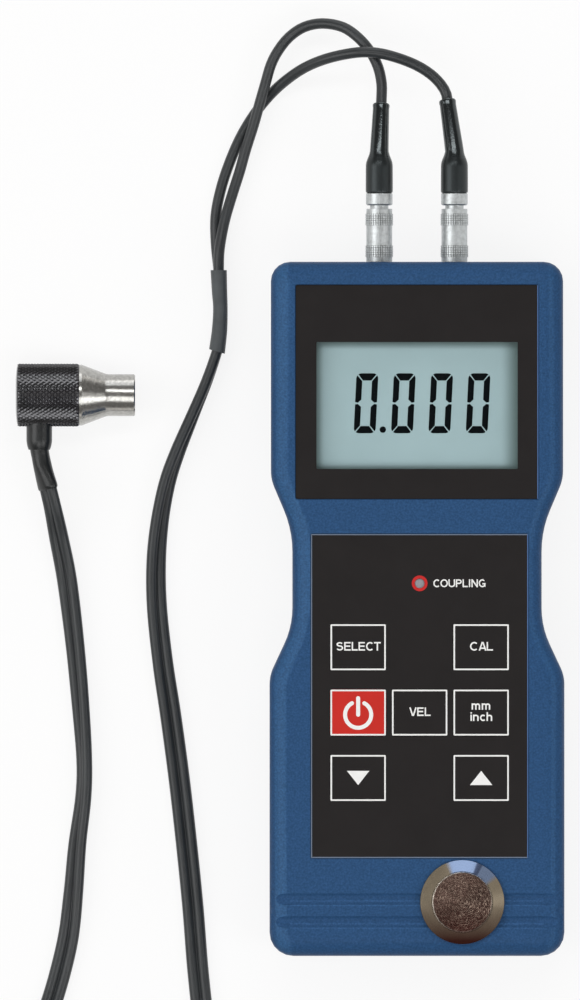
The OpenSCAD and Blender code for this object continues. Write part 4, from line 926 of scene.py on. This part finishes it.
def ring_arc(x, y, r_out, r_in, start, end, steps=32):
    """Open ring as one outline."""
    return arc(x, y, r_out, r_out, start, end, steps) + arc(x, y, r_in, r_in, end, start, steps)


# %% [markdown]
# The letters are plain strokes of one width, as on a stencil. Each is a few lines and bows in a box of
# height 1, and its advance is the way to the next letter.

# %% Letters from strokes
STROKE = 0.165
HALF = STROKE / 2
LIFT, LETTER_GAP = 0.002, 0.08


def arch(x, w):
    """The bow and right leg of a small n."""
    return arc(x + w / 2, 0.46, w / 2, 0.175, 170, 0) + [(x + w, 0)]


POST_1, STEM = [(HALF, 0), (HALF, 1)], [(HALF, 0), (HALF, 0.72)]
LETTERS = {
    "A": (0.66, [[(0.085, 0), (0.33, 1)], [(0.37, 1), (0.615, 0)], [(0.17, 0.28), (0.53, 0.28)]]),
    "C": (0.72, [arc(0.385, 0.5, 0.3, 0.43, 48, 312)]),
    "E": (0.66, [POST_1, [(HALF, 1 - HALF), (0.58, 1 - HALF)], [(HALF, 0.52), (0.55, 0.52)],
                 [(HALF, HALF), (0.6, HALF)]]),
    "G": (0.8, [arc(0.385, 0.5, 0.3, 0.43, 48, 330), [(0.4, 0.44), (0.72, 0.44)],
                [(0.64, 0.48), (0.64, 0.05)]]),
    "I": (0.3, [[(0.13, 0), (0.13, 1)]]),
    "L": (0.6, [POST_1, [(HALF, HALF), (0.55, HALF)]]),
    "N": (0.74, [POST_1, [(HALF, 0.98), (0.615, 0.02)], [(0.615, 0), (0.615, 1)]]),
    "O": (0.82, [arc(0.4, 0.5, 0.315, 0.43, 90, 270), arc(0.4, 0.5, 0.315, 0.43, -90, 90)]),
    "P": (0.68, [POST_1, [(HALF, 1 - HALF)] + arc(0.35, 0.7, 0.2, 0.215, 90, -90) + [(HALF, 0.485)]]),
    "S": (0.7, [arc(0.33, 0.725, 0.225, 0.19, 25, 270) + arc(0.33, 0.31, 0.24, 0.225, 90, -155)[1:]]),
    "T": (0.64, [[(0, 1 - HALF), (0.6, 1 - HALF)], [(0.3, 0), (0.3, 1)]]),
    "U": (0.76, [[(HALF, 1)] + arc(0.36, 0.36, 0.2725, 0.2725, 180, 360) + [(0.6325, 1)]]),
    "V": (0.7, [[(0.085, 1), (0.33, 0)], [(0.37, 0), (0.615, 1)]]),
    "c": (0.6, [arc(0.3, 0.36, 0.22, 0.29, 48, 312)]),
    "h": (0.64, [POST_1, arch(HALF, 0.39)]),
    "i": (0.27, [[(0.12, 0), (0.12, 0.72)], [(0.12, 0.84), (0.12, 1)]]),
    "m": (0.98, [STEM, arch(HALF, 0.345), arch(HALF + 0.345, 0.345)]),
    "n": (0.64, [STEM, arch(HALF, 0.39)]),
}


def stroke(points, width):
    """Outline of a line of even width through points."""
    points = [Vector(p) for p in points]
    left, right = [], []
    for i, p in enumerate(points):
        before = (p - points[i - 1]).normalized() if i else (points[1] - p).normalized()
        after = (points[i + 1] - p).normalized() if i + 1 < len(points) else before
        way = (before + after).normalized()
        reach = width / 2 / max(0.5, way.dot(after)) * Vector((-way.y, way.x))
        left.append(tuple(p + reach))
        right.append(tuple(p - reach))
    return left + right[::-1]


def words(name, text, x, y, width, height, body):
    """A generic word as print: centred on x, its foot at y, of a width and a letter height."""
    stretch = width / (sum(LETTERS[c][0] for c in text) - LETTER_GAP)
    outlines, start = [], x - width / 2
    for c in text:
        advance, lines = LETTERS[c]
        outlines += [stroke([(start + px * stretch, y + py * height) for px, py in path], STROKE * height)
                     for path in lines]
        start += advance * stretch
    return flat_print(name, outlines, paint.print_white, body, lift=LIFT)


# %% [markdown]
# Frames and signs are plain outlines, and the words come from the letters above. All of it lies on its own
# key and rides on it, so a key that is pressed takes its print along.

# %% Print on the keys
FRAME_W, FRAME_H, FRAME_LINE, FRAME_R = 12.86, 10.66, 0.36, 0.24
ARROW_W, ARROW_H = 5.2, 3.3
POWER_R, POWER_LINE, POWER_DROP, POWER_OPEN = 3.04, 0.92, 0.5, 28
POWER_BAR, POWER_BAR_Y = 4.78, 1.43
ROUND_END = POWER_LINE / 2 - 0.001
WORDS = {"key_mode": [("SELECT", -0.79, 10.3, 2)], "key_zero": [("CAL", -0.79, 5.35, 2)],
         "key_speed": [("VEL", -0.79, 4.95, 2)],
         "key_unit": [("mm", 0.67, 4.5, 2.05), ("inch", -1.95, 5.25, 2.05)]}


def power_sign(x, y):
    """Outlines of the sign for on and off: an open ring with round ends, and a bar."""
    start, end = 90 + POWER_OPEN, 450 - POWER_OPEN
    y -= POWER_DROP
    outlines = [ring_arc(x, y, POWER_R + POWER_LINE / 2, POWER_R - POWER_LINE / 2, start, end),
                round_rect(x, y + POWER_DROP + POWER_BAR_Y, POWER_LINE, POWER_BAR, ROUND_END)]
    for angle in (end, start):
        a = math.radians(angle)
        outlines.append(round_rect(x + POWER_R * math.cos(a), y + POWER_R * math.sin(a), POWER_LINE,
                                   POWER_LINE, ROUND_END))
    return outlines


for key in KEYS:
    low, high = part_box(key)
    x, y = (low.x + high.x) / 2 / MM, (low.y + high.y) / 2 / MM
    loops = (round_rect(x, y, FRAME_W, FRAME_H, FRAME_R),
             round_rect(x, y, FRAME_W - 2 * FRAME_LINE, FRAME_H - 2 * FRAME_LINE, FRAME_R / 3))
    flat_print(f"{key}_frame", [loops], paint.print_white, key)
    for text, foot, width, height in WORDS.get(key, []):
        words(f"{key}_{text}", text, x, y + foot, width, height, key)
    if key == "key_power":
        flat_print("power_sign", power_sign(x, y), paint.print_white, key, lift=LIFT)
    if key in ("key_down", "key_up"):
        tip = ARROW_H / 2 if key == "key_up" else -ARROW_H / 2
        arrow = [(x - ARROW_W / 2, y - tip), (x + ARROW_W / 2, y - tip), (x, y + tip)]
        flat_print(f"{key}_arrow", [arrow], paint.print_white, key)
LIGHT_WORD = ("COUPLING", 9.83, 5.06, 12.2, 1.82)
LIGHT_X, LIGHT_Y, LIGHT_RING = 0.6, 5.95, (3.66, 2.3)
words("light_words", *LIGHT_WORD, "gauge")
light_loops = tuple(round_rect(LIGHT_X, LIGHT_Y, d, d, d / 2 - 0.001, 10) for d in LIGHT_RING)
flat_print("light_ring", [light_loops], paint.ring_red, "gauge")
print("print on", len(KEYS), "keys")

# %% [markdown]
# ## Painted highlights at the films
# A thin pale line on the left, top and bottom of the keypad's film, and a blue one to the right of both
# films, are painted highlights where the housing's step catches light.

# %% Painted highlights along the film edges
EDGE_LINE, EDGE_R = 0.24, 0.08


def edge_strips(panel, sides):
    """Thin strips along some sides of a film: outlines of left, top, bottom or right."""
    low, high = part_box(panel)
    x0, y0, x1, y1 = (v / MM for v in (low.x, low.y, high.x, high.y))
    strips = {"left": (x0, y0, x0 + EDGE_LINE, y1), "right": (x1 - EDGE_LINE, y0, x1, y1),
              "top": (x0 + EDGE_LINE, y1 - EDGE_LINE, x1 - EDGE_LINE, y1),
              "bottom": (x0 + EDGE_LINE, y0, x1 - EDGE_LINE, y0 + EDGE_LINE)}
    chosen = [strips[side] for side in sides]
    return [round_rect((a + c) / 2, (b + d) / 2, c - a, d - b, EDGE_R) for a, b, c, d in chosen]


grey_edges = edge_strips("keypad_panel", ("left", "top", "bottom"))
blue_edges = edge_strips("keypad_panel", ("right",)) + edge_strips("display_panel", ("right",))
flat_print("grey_edge_highlights", grey_edges, paint.film_edge, "gauge")
flat_print("film_edges_blue", blue_edges, paint.edge_blue, "gauge")
print("film edges", len(grey_edges + blue_edges), "strips")

# %% [markdown]
# ## Figures in the display
# The display reads zero in seven-segment figures. A segment is a bar with mitred ends; a hairline keeps it
# apart from the next one. The figures lean a little to the right.

# %% Seven-segment figures
DIGIT_W, DIGIT_H, POST, BEAM, GAP, CORNER = 5.1, 13.95, 1.42, 1.68, 0.14, 1.25
DIGIT_X, DIGIT_Y, DIGIT_PITCH, LEAN = -14.75, 40.85, 8.69, 2.8
DOT_X, DOT_Y, DOT_D = -7.95, 41.7, 1.5
MITRE = math.degrees(GAP / CORNER)


def corner(x, start, end):
    """Points of a figure's round upper corner about x."""
    return arc(x, DIGIT_H - CORNER, CORNER, CORNER, start, end, 5)


TOP = (corner(CORNER, 135 - MITRE, 90) + corner(DIGIT_W - CORNER, 90, 45 + MITRE)
       + [(DIGIT_W - POST - GAP, DIGIT_H - BEAM), (POST + GAP, DIGIT_H - BEAM)])
UPPER = (corner(CORNER, 135 + MITRE, 180)
         + [(0, DIGIT_H / 2 + 2 * GAP), (POST * 0.45, DIGIT_H / 2 + GAP), (POST, DIGIT_H / 2 + POST * 0.6),
            (POST, DIGIT_H - BEAM - GAP)])


def mirrored(bar, across, over):
    """A bar turned over to the right side or the lower half of its figure."""
    return [(DIGIT_W - x if across else x, DIGIT_H - y if over else y) for x, y in bar]


ZERO = [TOP, mirrored(TOP, False, True)]
ZERO += [mirrored(UPPER, across, over) for across in (False, True) for over in (False, True)]
lean = math.tan(math.radians(LEAN))
figures = []
for i in range(4):
    for bar in ZERO:
        figures.append([(DIGIT_X + i * DIGIT_PITCH + x + y * lean, DIGIT_Y + y) for x, y in bar])
figures.append(round_rect(DOT_X, DOT_Y, DOT_D, DOT_D, DOT_D / 2 - 0.001))
flat_print("display_figures", figures, paint.display_ink, "gauge", z=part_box("lcd_module")[1].z / MM)
print("figures of", len(figures), "bars")

# %% [markdown]
# ## Floor and light
# The table is a pale sheet. It looks white to the camera and in reflections, yet it still takes the shadow,
# because only a part of its colour is given by light of its own. Soft lamps and a dim sky light the object
# at a plain level. Low down the sky is paler, as a studio's walls are, so the sides of the object aren't
# lost in the dark; a camera that looks along the table sees it white, and so do metal and glass.

# %% Floor
FLOOR, FLOOR_Z = 6.0, -0.0002
PAPER_LIT, PAPER_SHOWN, PAPER_GLOW = (0.4, 0.4, 0.4, 1), (0.97, 0.97, 0.97, 1), 0.85
floor_mesh = bpy.data.meshes.new("table")
corners = ((-1, -1), (1, -1), (1, 1), (-1, 1))
floor_mesh.from_pydata([(FLOOR * x, FLOOR * y, FLOOR_Z) for x, y in corners], [], [(0, 1, 2, 3)])
floor = add("table", floor_mesh)
paper = bpy.data.materials.new("table_paper")
paper.use_nodes = True
floor_mesh.materials.append(paper)
wire = Wiring(paper.node_tree)
seen = wire.node("ShaderNodeLightPath").outputs
shown = wire.maths("MAXIMUM", wire.maths("MAXIMUM", seen["Is Camera Ray"], seen["Is Glossy Ray"]),
                   seen["Is Transmission Ray"])
for label, value in (("Roughness", 0.8), ("Specular IOR Level", 0.2),
                     ("Base Color", wire.mixed(shown, PAPER_LIT, PAPER_SHOWN))):
    wire.feed(wire.shader.inputs[label], value)
glow = wire.node("ShaderNodeEmission")
blend = wire.node("ShaderNodeMixShader", wire.maths("MULTIPLY", shown, PAPER_GLOW), wire.shader, glow)
wire.feed(wire.made["Material Output"].inputs["Surface"], blend)
print("table", 2 * FLOOR, "m wide")

# %% Sky and lamps
scene = bpy.context.scene
scene.view_settings.view_transform = "Standard"
sky = bpy.data.worlds.new("studio")
scene.world = sky
sky.use_nodes = True
SKY_GLOW, WALL_GLOW, WALL_TOP = 0.22, 0.45, 0.32
SKY_COLOUR = (1, 0.97, 0.94, 1)
wire = Wiring(sky.node_tree)
height = wire.parts(wire.node("ShaderNodeTexCoord").outputs["Generated"])[2]
lit = wire.ramp(height, WALL_TOP / 2, WALL_TOP, WALL_GLOW, SKY_GLOW, way="SMOOTHSTEP")
seen = wire.node("ShaderNodeLightPath").outputs
bounced = wire.maths("MULTIPLY", wire.maths("MAXIMUM", seen["Is Glossy Ray"], seen["Is Transmission Ray"]),
                     wire.ramp(height, WALL_TOP / 2, WALL_TOP, 1, 0))
white = wire.maths("MAXIMUM", seen["Is Camera Ray"], bounced)
backdrop = wire.made["Background"]
wire.feed(backdrop.inputs["Color"], SKY_COLOUR)
wire.feed(backdrop.inputs["Strength"], wire.mixed(white, lit, 1.0, "FLOAT"))
LAMP_TARGET = Vector((-0.03, 0, 0))
LAMP_REACH = 2.2


def soft_lamp(name, lean_x, lean_y, size, glow, colour=(1, 1, 1)):
    """Soft lamp at two angles from straight up, in degrees; its size is a share of its distance."""
    lamp = bpy.data.lights.new(name, "AREA")
    lamp.shape = "RECTANGLE"
    lamp.size, lamp.size_y = size[0] * LAMP_REACH, size[1] * LAMP_REACH
    lamp.energy = glow * math.pi * lamp.size * lamp.size_y
    lamp.color = colour
    holder = add(name, lamp)
    way = Vector((math.tan(math.radians(lean_x)), math.tan(math.radians(lean_y)), 1)).normalized()
    holder.location = LAMP_TARGET + LAMP_REACH * way
    holder.rotation_euler = (-way).to_track_quat("-Z", "Y").to_euler()
    holder.visible_camera = False


soft_lamp("overhead_box", -4, -20, (0.62, 0.44), 2.3)
soft_lamp("left_box", -46, 0, (0.55, 0.7), 2.6)
soft_lamp("right_box", 38, -20, (0.32, 0.52), 3.0)
soft_lamp("strip_box", -4, 25, (0.85, 0.14), 5.2)
soft_lamp("window_box", 5, 72, (0.77, 0.6), 1.25, (0.95, 0.97, 1))
soft_lamp("right_fill", 58, 0, (0.34, 0.7), 0.9)
print("lamps", len(bpy.data.lights))
